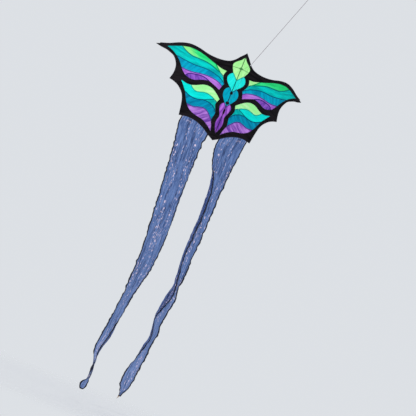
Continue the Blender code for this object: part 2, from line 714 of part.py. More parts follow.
def tail_grid(side, top, bottom, rows, columns):
    """Points of one length of tail, row by row. A top of None follows the edge it is sewn to."""
    grid = []
    for row in range(rows + 1):
        share = row / rows
        line = []
        for column in range(columns + 1):
            across = column / columns
            if top is None:
                s = TAIL_SEWN[0] + (TAIL_SEWN[1] - TAIL_SEWN[0]) * across
                sewn = bow_point(s * MM, -sewn_height(s), side=1)
                height = sewn.z + (bottom - sewn.z) * share
                inner, outer = tail_edge_at(side, height)
                hang = min(share * rows / 3, 1.0)
                x = (1 - hang) * sewn.x + hang * (inner + (outer - inner) * across)
            else:
                height = top + (bottom - top) * share
                inner, outer = tail_edge_at(side, height)
                x = inner + (outer - inner) * across
            line.append(Vector((side * x, tail_depth(x, height), height)))
        grid.append(line)
    return grid


def grid_sheet(name, grid, joint):
    """A streamer length: a grid primitive with its points moved to their places."""
    rows, columns = len(grid) - 1, len(grid[0]) - 1
    shape = bmesh.new()
    bmesh.ops.create_grid(shape, x_segments=columns, y_segments=rows, size=0.5)
    for vertex in shape.verts:
        column = round((vertex.co.x + 0.5) * columns)
        row = round((0.5 - vertex.co.y) * rows)
        vertex.co = grid[row][column]
    bmesh.ops.recalc_face_normals(shape, faces=shape.faces)
    bmesh.ops.triangulate(shape, faces=shape.faces)
    mesh = bpy.data.meshes.new(name)
    shape.to_mesh(mesh)
    shape.free()
    thicken(add_part(name, mesh, "streamer", joint), TAIL_CLOTH)


def make_tail(side_name, side, wing_joint):
    upper_fold, lower_fold = TAIL_JOINTS
    middle_s = sum(TAIL_SEWN) / 2
    sewn = bow_point(middle_s * MM, -sewn_height(middle_s), side=side)
    root = add_joint(f"{side_name}_tail_root", (sewn.x, TAIL_ROOT_Y, TAIL_ROOT_Z), wing_joint)
    joints = [root]
    for name, height in ((f"{side_name}_tail_bend", upper_fold), (f"{side_name}_tail_end_bend", lower_fold)):
        inner, outer = tail_edge_at(side, height)
        place = Vector((side * (inner + outer) / 2, TAIL_DEPTH, height))
        joints.append(add_joint(name, place, joints[-1]))
    lengths = [
        ("upper", None, upper_fold + TAIL_GAP), ("middle", upper_fold - TAIL_GAP, lower_fold + TAIL_GAP),
        ("lower", lower_fold - TAIL_GAP, TAIL_EDGES[side][-1][0]),
    ]
    for joint, (part, top, bottom) in zip(joints, lengths):
        grid = tail_grid(side, top, bottom, TAIL_ROWS, TAIL_COLUMNS)
        grid_sheet(f"{side_name}_tail_{part}", grid, joint)


# ---------------------------------------------------------------- the whole kite

def make_wing(side_name, side):
    fold = add_joint(f"{side_name}_wing_fold", (side * FOLD_S, SAIL_Y, HUB_Z))
    make_border(side_name, side, fold)
    make_panels(side_name, side, fold)
    make_wing_frame(side_name, side, fold)
    make_tail(side_name, side, fold)


def make_rigging():
    bridle_joint = add_joint("bridle_swing", (0.0, BRIDLE_Y, UPPER_LEG_Z))
    make_bridle(bridle_joint)
    snap_joint = add_joint("snap_pitch", along_line(RING_RADIUS), bridle_joint)
    far_gap, near_gap = GATE_END_GAPS
    gate_span = (HOOK_FAR - HOOK_WIDTH - far_gap, HOOK_NEAR + HOOK_WIDTH + near_gap)
    gate_joint = add_joint("snap_gate_pivot", along_line(gate_span[0], HOOK_WIDTH), snap_joint)
    barrel_end = make_snap(snap_joint, gate_joint, gate_span)
    line_joint = add_joint("line_spin", along_line(barrel_end), snap_joint)
    make_line(barrel_end, line_joint)


clear_scene()
KITE = new_collection("dragon_kite")
CUTTERS = new_collection("cutters")
CUTTERS.hide_render = True
make_spine()
make_spine_sleeve()
make_centre_fitting()
make_bridle_patches()
for wing_name, wing_side in SIDES.items():
    make_wing(wing_name, wing_side)
make_rigging()
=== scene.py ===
"""Looks of the single-line winged dragon kite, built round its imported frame.

Metres, in the frame of the CAD: +Z up the spine, X across the wings, +Y out of the back of the sail.
The sail is drawn flat on a half pattern, across (s) and down from the nose (z), cut into fine cloth,
and wrapped round the bow with the billow and creases that the wind gives it.
"""

import math

import bmesh
import bpy
import numpy as np
from mathutils import Matrix, Vector, noise


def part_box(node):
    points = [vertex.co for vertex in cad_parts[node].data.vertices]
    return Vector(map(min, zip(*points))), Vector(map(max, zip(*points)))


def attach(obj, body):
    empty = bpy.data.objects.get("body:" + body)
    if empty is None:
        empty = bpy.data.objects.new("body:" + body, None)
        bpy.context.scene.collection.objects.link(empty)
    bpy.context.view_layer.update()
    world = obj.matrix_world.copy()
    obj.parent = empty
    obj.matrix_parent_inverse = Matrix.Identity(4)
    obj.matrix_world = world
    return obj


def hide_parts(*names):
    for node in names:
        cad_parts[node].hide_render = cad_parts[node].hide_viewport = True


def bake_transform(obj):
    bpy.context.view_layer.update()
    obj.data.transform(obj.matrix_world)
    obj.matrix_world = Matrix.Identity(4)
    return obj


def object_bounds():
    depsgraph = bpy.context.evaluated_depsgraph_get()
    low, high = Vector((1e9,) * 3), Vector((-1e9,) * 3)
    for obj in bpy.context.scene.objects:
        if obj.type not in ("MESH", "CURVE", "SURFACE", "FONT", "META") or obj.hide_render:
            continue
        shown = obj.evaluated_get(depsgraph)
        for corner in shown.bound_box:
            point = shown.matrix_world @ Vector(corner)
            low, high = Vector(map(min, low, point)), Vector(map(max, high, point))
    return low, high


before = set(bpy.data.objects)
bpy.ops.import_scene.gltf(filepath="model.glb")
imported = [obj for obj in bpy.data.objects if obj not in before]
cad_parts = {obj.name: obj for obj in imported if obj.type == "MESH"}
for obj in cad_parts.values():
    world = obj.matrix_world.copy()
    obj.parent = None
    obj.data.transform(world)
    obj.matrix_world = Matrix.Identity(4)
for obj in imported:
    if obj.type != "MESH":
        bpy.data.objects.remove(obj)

CAD_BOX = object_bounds()
MM = 0.001

# The sail
BOW_RADIUS = 1.236
SAIL_Y = (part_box("left_head_panel")[0].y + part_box("right_head_panel")[0].y) / 2 + 0.0002
CLOTH = 0.0003
LAYER = 0.0005  # neighbouring sheets of cloth lie this far apart
OUTLINE_STEP = 9.0  # mm between points along a drawn curve
CELL = 0.0075  # the cloth is divided this finely
TUCK = 0.005  # a panel runs this far under its neighbour
MITRE_LIMIT = 3.0
BILLOW, BILLOW_REACH = 0.011, 0.085  # how far the cloth bellies back, and how near the rods it is flat
RIPPLE, RIPPLE_SIZE = 0.006, 0.13  # broad ripples in the belly of the cloth
FITTINGS_BULGE, FITTINGS_REACH = 0.0016, 0.012  # the cloth stands this far forward over the fittings
CREASE_FADE = 0.028  # creases grow to their full depth this far from a seam
CREASE_GAP = 0.022  # and this far from a rod
PUFF, PUFF_REACH = 0.0022, 0.045  # each panel is fuller in its middle
SEAM_WIDTH, HEM_WIDTH, LAP_WIDTH = 0.0090, 0.010, 0.0065
SEAM_CROWN = 0.00025  # a seam is this proud along its middle
STITCH = 0.0032  # from one stitch to the next
HEM_TAPERS = [(0, 0.10), (0.10, 0), (0, 0), (0, 0)]  # the four outer hems narrow towards the wing tip
FOLD_BLEND = 0.013  # the second place that wing_bend gives lies this far out from the spine

# The frame and the lines
ROD_DEPTH = 0.0040  # the rods lie this far behind the sail
BRIDLE_RADIUS, BRIDLE_LAY = 0.0009, 0.0075
LINE_RADIUS, LINE_LAY = 0.0021, 0.0180  # a lay is one turn of the cord's strands
HUB_Z = sum(corner.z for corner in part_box("centre_fitting")) / 2
SPINE_RADIUS = 0.0025

# Curves of the half pattern in mm, as points (s, z) that each passes smoothly through.
CURVES = {
    "leading_edge": [(0, 0), (50, 53), (90, 99), (130, 130), (180, 148), (250, 158), (330, 157), (400, 147),
        (470, 131), (550, 123), (620, 131), (700, 157), (800, 202), (930, 250)],
    "wing_hollow": [(930, 250), (860, 263), (800, 269), (745, 284), (700, 304), (662, 345), (640, 393),
        (634, 450), (640, 492), (651, 532)],
    "side_hollow": [(651, 532), (603, 542), (555, 560), (515, 588), (480, 625), (455, 675), (438, 745),
        (430, 795), (422, 843)],
    "tail_hollow": [(422, 843), (385, 836), (330, 828), (270, 831), (200, 848), (130, 879), (70, 917),
        (0, 955)],
    "upper_top": [(131, 246), (190, 241), (262, 222), (330, 202), (410, 178), (490, 163), (560, 160),
        (610, 168), (650, 178), (720, 203), (800, 233)],
    "upper_bottom": [(800, 233), (760, 243), (715, 262), (672, 288), (632, 318), (603, 350), (576, 383),
        (548, 413), (510, 440), (460, 454), (410, 453), (360, 433), (310, 415), (262, 408), (210, 423),
        (133, 452)],
    "upper_inner_low": [(133, 452), (119, 407), (105, 377)],
    "upper_inner_high": [(105, 377), (130, 343), (145, 306), (142, 272), (131, 246)],
    "lime_edge": [(262, 222), (225, 252), (185, 285), (145, 306)],
    "emerald_edge": [(185, 285), (240, 269), (300, 249), (360, 237), (440, 234), (510, 232), (560, 221),
        (605, 203), (650, 178)],
    "aqua_edge": [(105, 377), (160, 341), (220, 321), (290, 306), (360, 303), (450, 309), (530, 304),
        (672, 288)],
    "blue_edge": [(119, 407), (160, 385), (220, 369), (300, 364), (370, 370), (440, 382), (500, 387),
        (576, 383)],
    "lilac_edge": [(262, 408), (305, 393), (355, 387), (420, 396), (480, 411), (510, 440)],
    "lower_top": [(92, 540), (130, 509), (175, 478), (215, 461), (260, 456), (310, 467), (370, 496),
        (420, 512), (470, 514), (535, 500)],
    "lower_right": [(535, 500), (505, 530), (475, 566), (450, 597), (425, 645), (388, 705), (350, 744),
        (300, 770), (240, 785), (180, 796), (110, 832), (55, 874)],
    "lower_inner": [(55, 874), (72, 815), (91, 768), (84, 718), (80, 678), (100, 636), (111, 600),
        (106, 578), (92, 540)],
    "lower_lime_edge": [(106, 578), (140, 560), (180, 544), (225, 533), (270, 536), (335, 553), (380, 544),
        (420, 512)],
    "lower_aqua_edge": [(140, 560), (190, 581), (250, 607), (300, 622), (350, 626), (400, 617), (450, 597)],
    "teal_edge": [(80, 678), (115, 640), (160, 616), (205, 608), (250, 607)],
    "lower_blue_edge": [(91, 768), (125, 733), (165, 698), (215, 683), (265, 694), (320, 709), (388, 705)],
    "head_side": [(0, 45), (30, 84), (62, 110), (88, 136), (96, 160), (84, 195), (61, 236)],
    "thorax_side": [(61, 236), (88, 259), (102, 296), (86, 338), (39, 386)],
    "abdomen_side": [(39, 386), (66, 406), (82, 438), (78, 484), (54, 520), (31, 551)],
    "leaf_side": [(31, 551), (54, 573), (64, 600), (50, 644), (29, 696), (38, 742), (39, 782), (24, 828),
        (0, 880)],
    "head_edge": [(61, 236), (0, 300)],
    "thorax_edge": [(39, 386), (0, 430)],
    "abdomen_edge": [(31, 551), (0, 592)],
}

# Each panel: its colour's name, its layer behind the border, the direction of its creases in degrees below
# level and their depth in mm, its painted shades (painted full light, painted shade in the hollows of its
# creases, and the painted shade of its seams, where doubled cloth holds back the light from behind), the loop
# of stretches round it, each a (curve, first point, last point), and the seams that it laps over.
PANELS = {
    "upper_lime": ("lime", 1, 8, 1.0, ((196, 255, 178), (160, 246, 142), (96, 200, 104)),
        [("upper_top", 0, 2), ("lime_edge", 0, 3), ("upper_inner_high", 2, 4)], []),
    "upper_emerald": ("emerald", 0, -12, 2.0, ((56, 236, 140), (0, 196, 98), (0, 150, 96)),
        [("upper_top", 2, 8), ("emerald_edge", 8, 0), ("lime_edge", 2, 0)], [("lime_edge", 0, 2)]),
    "upper_aqua": ("aqua", 2, -6, 1.8, ((0, 216, 206), (0, 160, 162), (0, 118, 120)),
        [("upper_top", 8, 10), ("upper_bottom", 0, 3), ("aqua_edge", 7, 0), ("upper_inner_high", 0, 2),
         ("lime_edge", 3, 2), ("emerald_edge", 0, 8)], [("lime_edge", 2, 3), ("emerald_edge", 0, 8)]),
    "upper_blue": ("blue", 0, 58, 1.9, ((0, 174, 206), (0, 132, 170), (0, 96, 126)),
        [("upper_bottom", 3, 6), ("blue_edge", 7, 0), ("upper_inner_low", 1, 2), ("aqua_edge", 0, 7)],
        [("aqua_edge", 0, 7)]),
    "upper_lilac": ("lilac", 1, -14, 1.9, ((196, 126, 228), (152, 84, 194), (70, 70, 152)),
        [("upper_bottom", 6, 8), ("lilac_edge", 5, 0), ("upper_bottom", 13, 15), ("upper_inner_low", 0, 1),
         ("blue_edge", 0, 7)], [("blue_edge", 0, 7)]),
    "upper_purple": ("purple", 0, -58, 2.4, ((150, 92, 204), (84, 44, 150), (64, 32, 120)),
        [("upper_bottom", 8, 13), ("lilac_edge", 0, 5)], [("lilac_edge", 0, 5)]),
    "lower_lime": ("lime", 0, 12, 1.2, ((196, 255, 182), (160, 250, 152), (96, 204, 108)),
        [("lower_top", 0, 7), ("lower_lime_edge", 7, 0), ("lower_inner", 7, 8)], []),
    "lower_aqua": ("aqua", 1, 15, 1.5, ((10, 242, 230), (0, 212, 204), (0, 158, 146)),
        [("lower_top", 7, 9), ("lower_right", 0, 3), ("lower_aqua_edge", 6, 0), ("lower_lime_edge", 1, 7)],
        [("lower_lime_edge", 1, 7)]),
    "lower_teal": ("teal", 2, 30, 1.2, ((0, 208, 196), (0, 164, 164), (0, 118, 124)),
        [("lower_lime_edge", 0, 1), ("lower_aqua_edge", 0, 2), ("teal_edge", 4, 0), ("lower_inner", 4, 7)],
        [("lower_lime_edge", 0, 1), ("lower_aqua_edge", 0, 2)]),
    "lower_blue": ("blue", 0, 40, 2.0, ((0, 156, 192), (0, 110, 146), (0, 84, 112)),
        [("lower_aqua_edge", 2, 6), ("lower_right", 3, 5), ("lower_blue_edge", 6, 0), ("lower_inner", 2, 4),
         ("teal_edge", 0, 4)], [("teal_edge", 0, 4), ("lower_aqua_edge", 2, 6)]),
    "lower_purple": ("purple", 1, 36, 3.0, ((192, 132, 226), (96, 48, 152), (72, 62, 146)),
        [("lower_right", 5, 11), ("lower_inner", 0, 2), ("lower_blue_edge", 0, 6)],
        [("lower_blue_edge", 0, 6)]),
    "head": ("lime", 0, 60, 0.8, ((190, 255, 170), (160, 248, 142), (30, 132, 64)),
        [("head_side", 0, 6), ("head_edge", 0, 1)], []),
    "thorax": ("aqua", 1, 70, 1.0, ((44, 246, 234), (8, 226, 214), (0, 160, 150)),
        [("thorax_side", 0, 4), ("thorax_edge", 0, 1), ("head_edge", 1, 0)], [("head_edge", 0, 1)]),
    "abdomen": ("blue", 0, 75, 1.0, ((0, 176, 202), (0, 136, 166), (0, 104, 136)),
        [("abdomen_side", 0, 5), ("abdomen_edge", 0, 1), ("thorax_edge", 1, 0)], [("thorax_edge", 0, 1)]),
    "tail_leaf": ("purple", 1, 78, 1.8, ((186, 110, 224), (106, 48, 158), (88, 32, 128)),
        [("leaf_side", 0, 8), ("abdomen_edge", 1, 0)], [("abdomen_edge", 0, 1)]),
}
BORDER_OUTER = [
    ("leading_edge", 0, 13), ("wing_hollow", 0, 9), ("side_hollow", 0, 8), ("tail_hollow", 0, 7),
    ("leaf_side", 8, 0), ("abdomen_side", 5, 0), ("thorax_side", 4, 0), ("head_side", 6, 0),
]
BORDER_OPENINGS = [
    [("upper_top", 0, 10), ("upper_bottom", 0, 15), ("upper_inner_low", 0, 2), ("upper_inner_high", 0, 4)],
    [("lower_top", 0, 9), ("lower_right", 0, 11), ("lower_inner", 0, 8)],
]

# Each rod: its radius, how far out from the spine it runs, how far its pocket does, and the line that both
# follow on the same half pattern.
RODS = {
    "wing_spar": (0.0020, (0.021, 0.908), (0.150, 0.884), [(0, 169), (80, 178), (150, 183), (230, 182),
        (300, 176), (393, 163), (470, 146), (550, 139), (620, 147), (700, 171), (800, 212), (930, 250)]),
    "batten": (0.0015, (0.088, 0.640), (0.104, 0.628), [(88, 488), (150, 462), (215, 440), (262, 434),
        (320, 447), (393, 473), (470, 488), (550, 500), (640, 527)]),
}

CENTRE_PANELS = ("head", "thorax", "abdomen", "tail_leaf")
PATCHES = {  # sewn on the spine: middle, half width, half height, how pointed, and the CAD nodes replaced
    "upper_patch": (-0.437, 0.015, 0.017, 0.8, ["upper_patch"]),
    "lower_patch": (-0.545, 0.020, 0.016, 0.8, ["lower_patch"]),
    "leaf_lens": (-0.640, 0.0105, 0.036, 1.5, []),
}

# Tails in mm: height down, inner edge, outer edge, then cloth folded over at the inner edge and share
# rolled up, which are nothing where a row leaves them out.
TAIL_SHAPE = {
    "left": [
        (900, 70, 384), (1000, 76, 372), (1110, 78, 357), (1300, 78, 336), (1420, 76, 322, 10),
        (1600, 69, 307, 20), (1800, 60, 293, 18), (1950, 57, 286, 6), (2150, 57, 267), (2300, 66, 263),
        (2430, 80, 264), (2575, 115, 266), (2710, 146, 267), (2870, 170, 282), (3080, 197, 300, 20),
        (3200, 202, 316, 34), (3345, 246, 328, 24), (3410, 250, 318, 26, 0.1), (3480, 246, 302, 20, 0.35),
        (3540, 248, 284, 8, 0.75), (3600, 240, 280, 0, 0.85), (3670, 236, 284, 0, 0.6),
        (3712, 243, 305, 0, 0.1), (3768, 252, 318), (3804, 274, 306),
    ],
    "right": [
        (900, 50, 362), (1010, 55, 350), (1170, 96, 332), (1280, 144, 322, 26), (1420, 173, 316, 42),
        (1570, 184, 312, 46), (1730, 188, 309, 44), (1850, 181, 309, 42), (2000, 174, 302, 40),
        (2130, 170, 294, 34), (2240, 176, 295, 30), (2390, 190, 284, 36), (2490, 192, 274, 48, 0.05),
        (2620, 158, 288, 78), (2820, 137, 257, 26), (2900, 146, 246, 16), (3020, 164, 256, 26),
        (3085, 160, 246, 36), (3160, 143, 234, 34), (3300, 125, 228, 10), (3440, 84, 210),
        (3580, 72, 196), (3650, 92, 172), (3700, 102, 152, 8, 0.1), (3733, 104, 132, 6, 0.3),
    ],
}
TAIL_SEWN = (0.062, 0.383)  # the streamers are sewn on between these distances out from the spine
TAIL_DEPTH = 0.026  # and hang this far behind it
TAIL_TUCK = 0.012  # the streamers are sewn this far up behind the hem
TAIL_WIDTH = 0.30  # of the cloth, as its pattern counts it
TAIL_EASE, TAIL_GROWTH = 0.11, 0.30  # below the seam, lengths in which the cloth leaves it and waves grow
TAIL_FREE = (1.0, 0.6)  # how far down the streamer begins to sway and twist, and over what length
TAIL_WAVES = ((0.0085, 0.036, 0.45, 0), (0.0045, 0.016, 0.16, 9))  # depth, width, length, seed of each
EDGE_RUFFLE, EDGE_FLUTTER = 0.0095, 0.0070  # small waves of the edges, sideways and fore and aft
TAIL_CROOK, FOLD_LIFT = 0.005, 0.0050  # how round the fold is, and how far forward the folded cloth lies
TAIL_TWIST, TAIL_SWAY = 0.20, 0.016  # the slope across the cloth, and how far it swings fore and aft
ROLL_TURNS, ROLL_TWIST = 1.7, 34.0  # the rolled part's turns across, and its twist in radians a metre
# Each length: its top, its bottom, two bodies, and two places as (s, up), which are handed to hang with the
# piece.
# The upper length's top is curved, so its height here only sets how many rows it has.
TAIL_LENGTHS = {
    "upper": (-0.84, -1.32, "wing", "tail_upper_length", (0.221, -0.888), (0.255, -1.024)),
    "middle": (-1.32, -2.27, "tail_upper_length", "tail_middle_length", (0.0, -1.60), (0.0, -2.00)),
    "lower": (-2.27, None, "tail_middle_length", "tail_lower_length", (0.0, -2.55), (0.0, -2.95)),
}
TAIL_ROW, TAIL_COLUMNS = 0.010, 44
TAIL_HEM, BEAD_RADIUS = 0.0110, 0.0022
# Black cloth: painted sheen along its folds, painted shade in their hollows, and on its seams
BLACK_SHADES = ((28, 24, 28), (7, 6, 9), (7, 6, 9))
SIDES = {"left": -1, "right": 1}


def srgb(red, green, blue):
    """A colour given as 0 to 255 on a screen, in the linear values that materials take."""
    shares = (red / 255, green / 255, blue / 255)
    return (*(c / 12.92 if c < 0.0405 else ((c + 0.055) / 1.055) ** 2.4 for c in shares), 1.0)


# ---- curves of the flat pattern

def unit(vectors):
    """Vectors made one long."""
    return vectors / np.linalg.norm(vectors, axis=-1, keepdims=True)


def lengths(line):
    """How far along a line each of its points is."""
    return np.concatenate([[0.0], np.cumsum(np.linalg.norm(np.diff(line, axis=0), axis=1))])


def ease(share):
    """A share from 0 to 1 that starts and ends gently."""
    share = np.clip(share, 0.0, 1.0)
    return share * share * (3 - 2 * share)


def field(u, v, seed):
    """A smooth random field, the same each run."""
    values = [noise.noise((a, b, seed)) for a, b in zip(np.ravel(u), np.ravel(v))]
    return np.array(values).reshape(np.shape(u))


def spline(points, step):
    """Samples of the smooth curve through the points, and where each point is among them."""
    knots = np.array(points, float)
    knots = np.vstack([2 * knots[:1] - knots[1:2], knots, 2 * knots[-1:] - knots[-2:-1]])
    samples, starts = [], [0]
    for p0, p1, p2, p3 in zip(knots, knots[1:], knots[2:], knots[3:]):
        count = max(1, math.ceil(np.linalg.norm(p2 - p1) / step))
        t = np.arange(count)[:, None] / count
        bend = (2 * p0 - 5 * p1 + 4 * p2 - p3) * t ** 2 + (3 * p1 - p0 - 3 * p2 + p3) * t ** 3
        samples.append((2 * p1 + (p2 - p0) * t + bend) / 2)
        starts.append(starts[-1] + count)
    samples.append(knots[-2:-1])
    return np.vstack(samples), starts


def stretch(curve, first, last):
    """A named curve from one of its points to another, in metres as (s, up)."""
    samples, starts = spline(CURVES[curve], OUTLINE_STEP)
    low, high = sorted((first, last))
    return samples[starts[low]:starts[high] + 1][::1 if first < last else -1] * MM * (1, -1)


def turning(loop):
    """Above nothing for a flat loop that runs counter-clockwise."""
    after = np.roll(loop, -1, axis=0)
    return np.sum(loop[:, 0] * after[:, 1] - after[:, 0] * loop[:, 1])


def loop_of(stretches):
    """A closed outline, running counter-clockwise as (s, up)."""
    loop = np.vstack([stretch(*part) for part in stretches])
    loop = loop[np.linalg.norm(loop - np.roll(loop, 1, axis=0), axis=1) > 1e-6]
    return loop if turning(loop) > 0 else loop[::-1]


def offset(line, distance, closed):
    """A line moved to its right by a distance, which is outwards for a closed outline."""
    steps = np.diff(np.vstack([line[-1:], line, line[:1]]) if closed else line, axis=0)
    steps = unit(steps if closed else np.vstack([steps[:1], steps, steps[-1:]]))
    across = (steps[:-1] + steps[1:])[:, ::-1] * (1, -1)
    length = np.linalg.norm(across, axis=1)[:, None]
    reach = np.reshape(distance, (-1, 1)) / np.maximum(length / 2, 1 / MITRE_LIMIT)
    return line + across / np.maximum(length, 1e-9) * reach


def line_distance(places, line, closed=False):
    """How far each flat place is from a line."""
    nearest = np.full(len(places), np.inf)
    ends = np.roll(line, -1, axis=0) if closed else line[1:]
    for a, b in zip(line, ends):
        along = b - a
        share = np.clip((places - a) @ along / max(along @ along, 1e-18), 0, 1)
        nearest = np.minimum(nearest, np.linalg.norm(places - a - share[:, None] * along, axis=1))
    return nearest


def edge_distance(places, loops):
    """How far inside the cloth's edges each place is, and less than nothing outside them."""
    inside = np.zeros(len(places), bool)
    for loop in loops:
        for a, b in zip(loop, np.roll(loop, -1, axis=0)):
            spans = (a[1] > places[:, 1]) != (b[1] > places[:, 1])
            rise = b[1] - a[1] if b[1] != a[1] else 1e-12
            crossing = a[0] + (places[:, 1] - a[1]) / rise * (b[0] - a[0])
            inside ^= spans & (places[:, 0] < crossing)
    distance = np.min([line_distance(places, loop, closed=True) for loop in loops], axis=0)
    return np.where(inside, distance, -distance)


# ---- the shape that the wind gives the sail

ROD_LINES = [spline(line, 30.0)[0] * MM * (1, -1) for *_, line in RODS.values()]
ROD_LINES.append(np.array([(0.0, 0.0), (0.0, -0.955)]))  # the spine
FITTINGS_LINE = np.array([(0.0, HUB_Z), (0.014, HUB_Z), (0.048, -0.177)])


def away_from_rods(places, reach):
    """0 along the rods, rising to 1 over about a reach on either side of them."""
    return math.prod(1 - np.exp(-(line_distance(places, line) / reach) ** 2) for line in ROD_LINES)


def billow(places):
    """How far back the cloth bellies: most in the middle of the open cloth, and forward over the fittings."""
    ripple = field(places[:, 0] / RIPPLE_SIZE, places[:, 1] / RIPPLE_SIZE, 3.7)
    fittings = np.exp(-(line_distance(places, FITTINGS_LINE) / FITTINGS_REACH) ** 2)
    return away_from_rods(places, BILLOW_REACH) * (BILLOW + RIPPLE * ripple) - FITTINGS_BULGE * fittings


def creases(places, edge, angle, depth, seed):
    """Long soft folds along one direction, with sharper ones among them, fading out at the seams."""
    turn = math.radians(-angle)
    along = places[:, 0] * math.cos(turn) + places[:, 1] * math.sin(turn)
    across = places[:, 1] * math.cos(turn) - places[:, 0] * math.sin(turn)
    soft = field(along / 0.16, across / 0.030, seed)
    sharp = 0.5 - np.abs(field(along / 0.11 + 7.0, across / 0.021, seed + 5.0)) * 2
    fade = ease(edge / CREASE_FADE) * away_from_rods(places, CREASE_GAP)
    return depth * (1.25 * soft + 0.45 * sharp) * fade


def bowed(places, depth, side):
    """Flat places wrapped round the bow, set back behind the sail's middle by depth."""
    angle = places[:, 0] / BOW_RADIUS
    radius = BOW_RADIUS - depth
    x = side * radius * np.sin(angle)
    y = SAIL_Y + BOW_RADIUS - radius * np.cos(angle)
    return np.stack([x, y, places[:, 1]], axis=1)


# ---- meshes

def place(name, data):
    """A new object in the scene."""
    obj = bpy.data.objects.new(name, data)
    bpy.context.scene.collection.objects.link(obj)
    return obj


def quads(rows, columns, wrap=False):
    """The faces of a grid of points, row by row, closed into a tube if it wraps."""
    faces = []
    for row in range(0, (rows - 1) * columns, columns):
        for i in range(columns if wrap else columns - 1):
            j = (i + 1) % columns
            faces.append([row + i, row + j, row + columns + j, row + columns + i])
    return faces


class Soup:
    """Points and faces of one piece, gathered from its parts before they become a mesh."""

    def __init__(self):
        self.points, self.faces, self.flat, self.edge, self.slots = [], [], [], [], []
        self.count = 0

    def add(self, points, faces, flat, edge=1.0, slots=0):
        """slots is the material of every face, or a list with that of each."""
        self.faces += [[corner + self.count for corner in face] for face in faces]
        self.points.append(points)
        self.flat.append(flat)
        self.edge.append(np.broadcast_to(edge, len(points)))
        self.slots += np.broadcast_to(slots, len(faces)).tolist()
        self.count += len(points)

    def hang(self, name, materials, slot, replaced, where, thickness=CLOTH):
        """Makes the piece, hides the CAD nodes that it stands for, and hangs it on its body. slot, the name
        of its finish, is not used.

        where is a body to hang the piece on; when it is two bodies and two places instead, these are not used
        and the piece hangs on no body.
        """
        mesh = bpy.data.meshes.new(name)
        mesh.from_pydata(np.vstack(self.points).tolist(), [], self.faces)
        corners = np.zeros(len(mesh.loops), int)
        mesh.loops.foreach_get("vertex_index", corners)
        layer = mesh.uv_layers.new(name="pattern")
        layer.data.foreach_set("uv", np.vstack(self.flat)[corners].astype(np.float32).ravel())
        edge = mesh.attributes.new("edge", "FLOAT", "POINT")
        edge.data.foreach_set("value", np.concatenate(self.edge).astype(np.float32))
        for made in materials:
            mesh.materials.append(made)
        mesh.polygons.foreach_set("material_index", self.slots)
        mesh.shade_smooth()
        piece = place(name, mesh)
        if thickness:
            solidify = piece.modifiers.new("Cloth thickness", "SOLIDIFY")
            solidify.thickness = thickness
            solidify.offset = 0.0
        if replaced:
            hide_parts(*replaced)
        if isinstance(where, str):
            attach(piece, where)
        else:
            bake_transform(piece)


def facing_front(flat, faces, side):
    """Turns each face of a flat sheet so that it looks out of the front of the sail."""
    return [face if turning(flat[face]) * side > 0 else face[::-1] for face in faces]


def filled(loops):
    """A flat sheet between its outline and its openings, cut into small cells: its places and its faces."""
    curve = bpy.data.curves.new("outline", "CURVE")
    curve.dimensions = "2D"
    curve.fill_mode = "FRONT"
    for loop in loops:
        line = curve.splines.new("POLY")
        line.points.add(len(loop) - 1)
        line.points.foreach_set("co", np.hstack([loop, np.tile((0.0, 1.0), (len(loop), 1))]).ravel())
        line.use_cyclic_u = True
    helper = place("outline", curve)
    bpy.context.view_layer.update()
    mesh = bpy.data.meshes.new_from_object(helper.evaluated_get(bpy.context.evaluated_depsgraph_get()))
    bpy.data.objects.remove(helper, do_unlink=True)
    shape = bmesh.new()
    shape.from_mesh(mesh)
    bpy.data.meshes.remove(mesh)
    bmesh.ops.remove_doubles(shape, verts=shape.verts, dist=1e-6)
    bmesh.ops.dissolve_limit(shape, angle_limit=1e-4, verts=shape.verts, edges=shape.edges)
    for axis in (0, 1):
        low, high = min(v.co[axis] for v in shape.verts), max(v.co[axis] for v in shape.verts)
        for number in range(math.ceil(low / CELL), math.floor(high / CELL) + 1):
            at, normal = [0.0, 0.0, 0.0], [0.0, 0.0, 0.0]
            at[axis], normal[axis] = number * CELL, 1.0
            bmesh.ops.bisect_plane(
                shape, geom=[*shape.verts, *shape.edges, *shape.faces], dist=1e-6,
                plane_co=at, plane_no=normal, clear_inner=axis == 0 and number == 0)
    bmesh.ops.triangulate(shape, faces=[face for face in shape.faces if len(face.verts) > 4])
    bmesh.ops.dissolve_degenerate(shape, dist=1e-6, edges=shape.edges)
    shape.verts.index_update()
    flat = np.array([v.co.xy for v in shape.verts])
    faces = [[v.index for v in face.verts] for face in shape.faces]
    shape.free()
    flat[:, 0] = np.maximum(flat[:, 0], 0.0)
    return flat, faces


def add_sheet(soup, loops, drawn, side, layer, lie):
    """One piece of sailcloth: loops is what is cut, drawn is what shows between its seams."""
    flat, faces = filled(loops)
    edge = edge_distance(flat, drawn)
    depth = billow(flat) + layer * LAYER + lie(flat, edge)
    soup.add(bowed(flat, depth, side), facing_front(flat, faces, side), flat, edge)


def add_strip(soup, line, lanes, depths, side, closed=False, slot=0, tapers=(0.0, 0.0)):
    """A narrow strip along a line: each lane lies that far to its right, that deep behind the sail.

    It narrows to nothing over the lengths in tapers, at the line's start and at its end.
    """
    count = len(line)
    along = lengths(line)
    narrowed = 1.0
    for left, taper in ((along, tapers[0]), (along[-1] - along, tapers[1])):
        narrowed = narrowed * ease((left + 0.0005) / (taper + 1e-6))
    flat = np.vstack([offset(line, lane * narrowed, closed) for lane in lanes])
    flat[:, 0] = np.maximum(flat[:, 0], 0.0)
    across = np.repeat(lanes, count)
    middle, half = (lanes[0] + lanes[-1]) / 2, abs(lanes[-1] - lanes[0]) / 2
    points = bowed(flat, billow(flat) + np.repeat(depths, count), side)
    faces = facing_front(flat, quads(len(lanes), count, closed), side)
    thread = np.stack([np.tile(along, len(lanes)), across], axis=1)
    soup.add(points, faces, thread, half - np.abs(across - middle), slot)


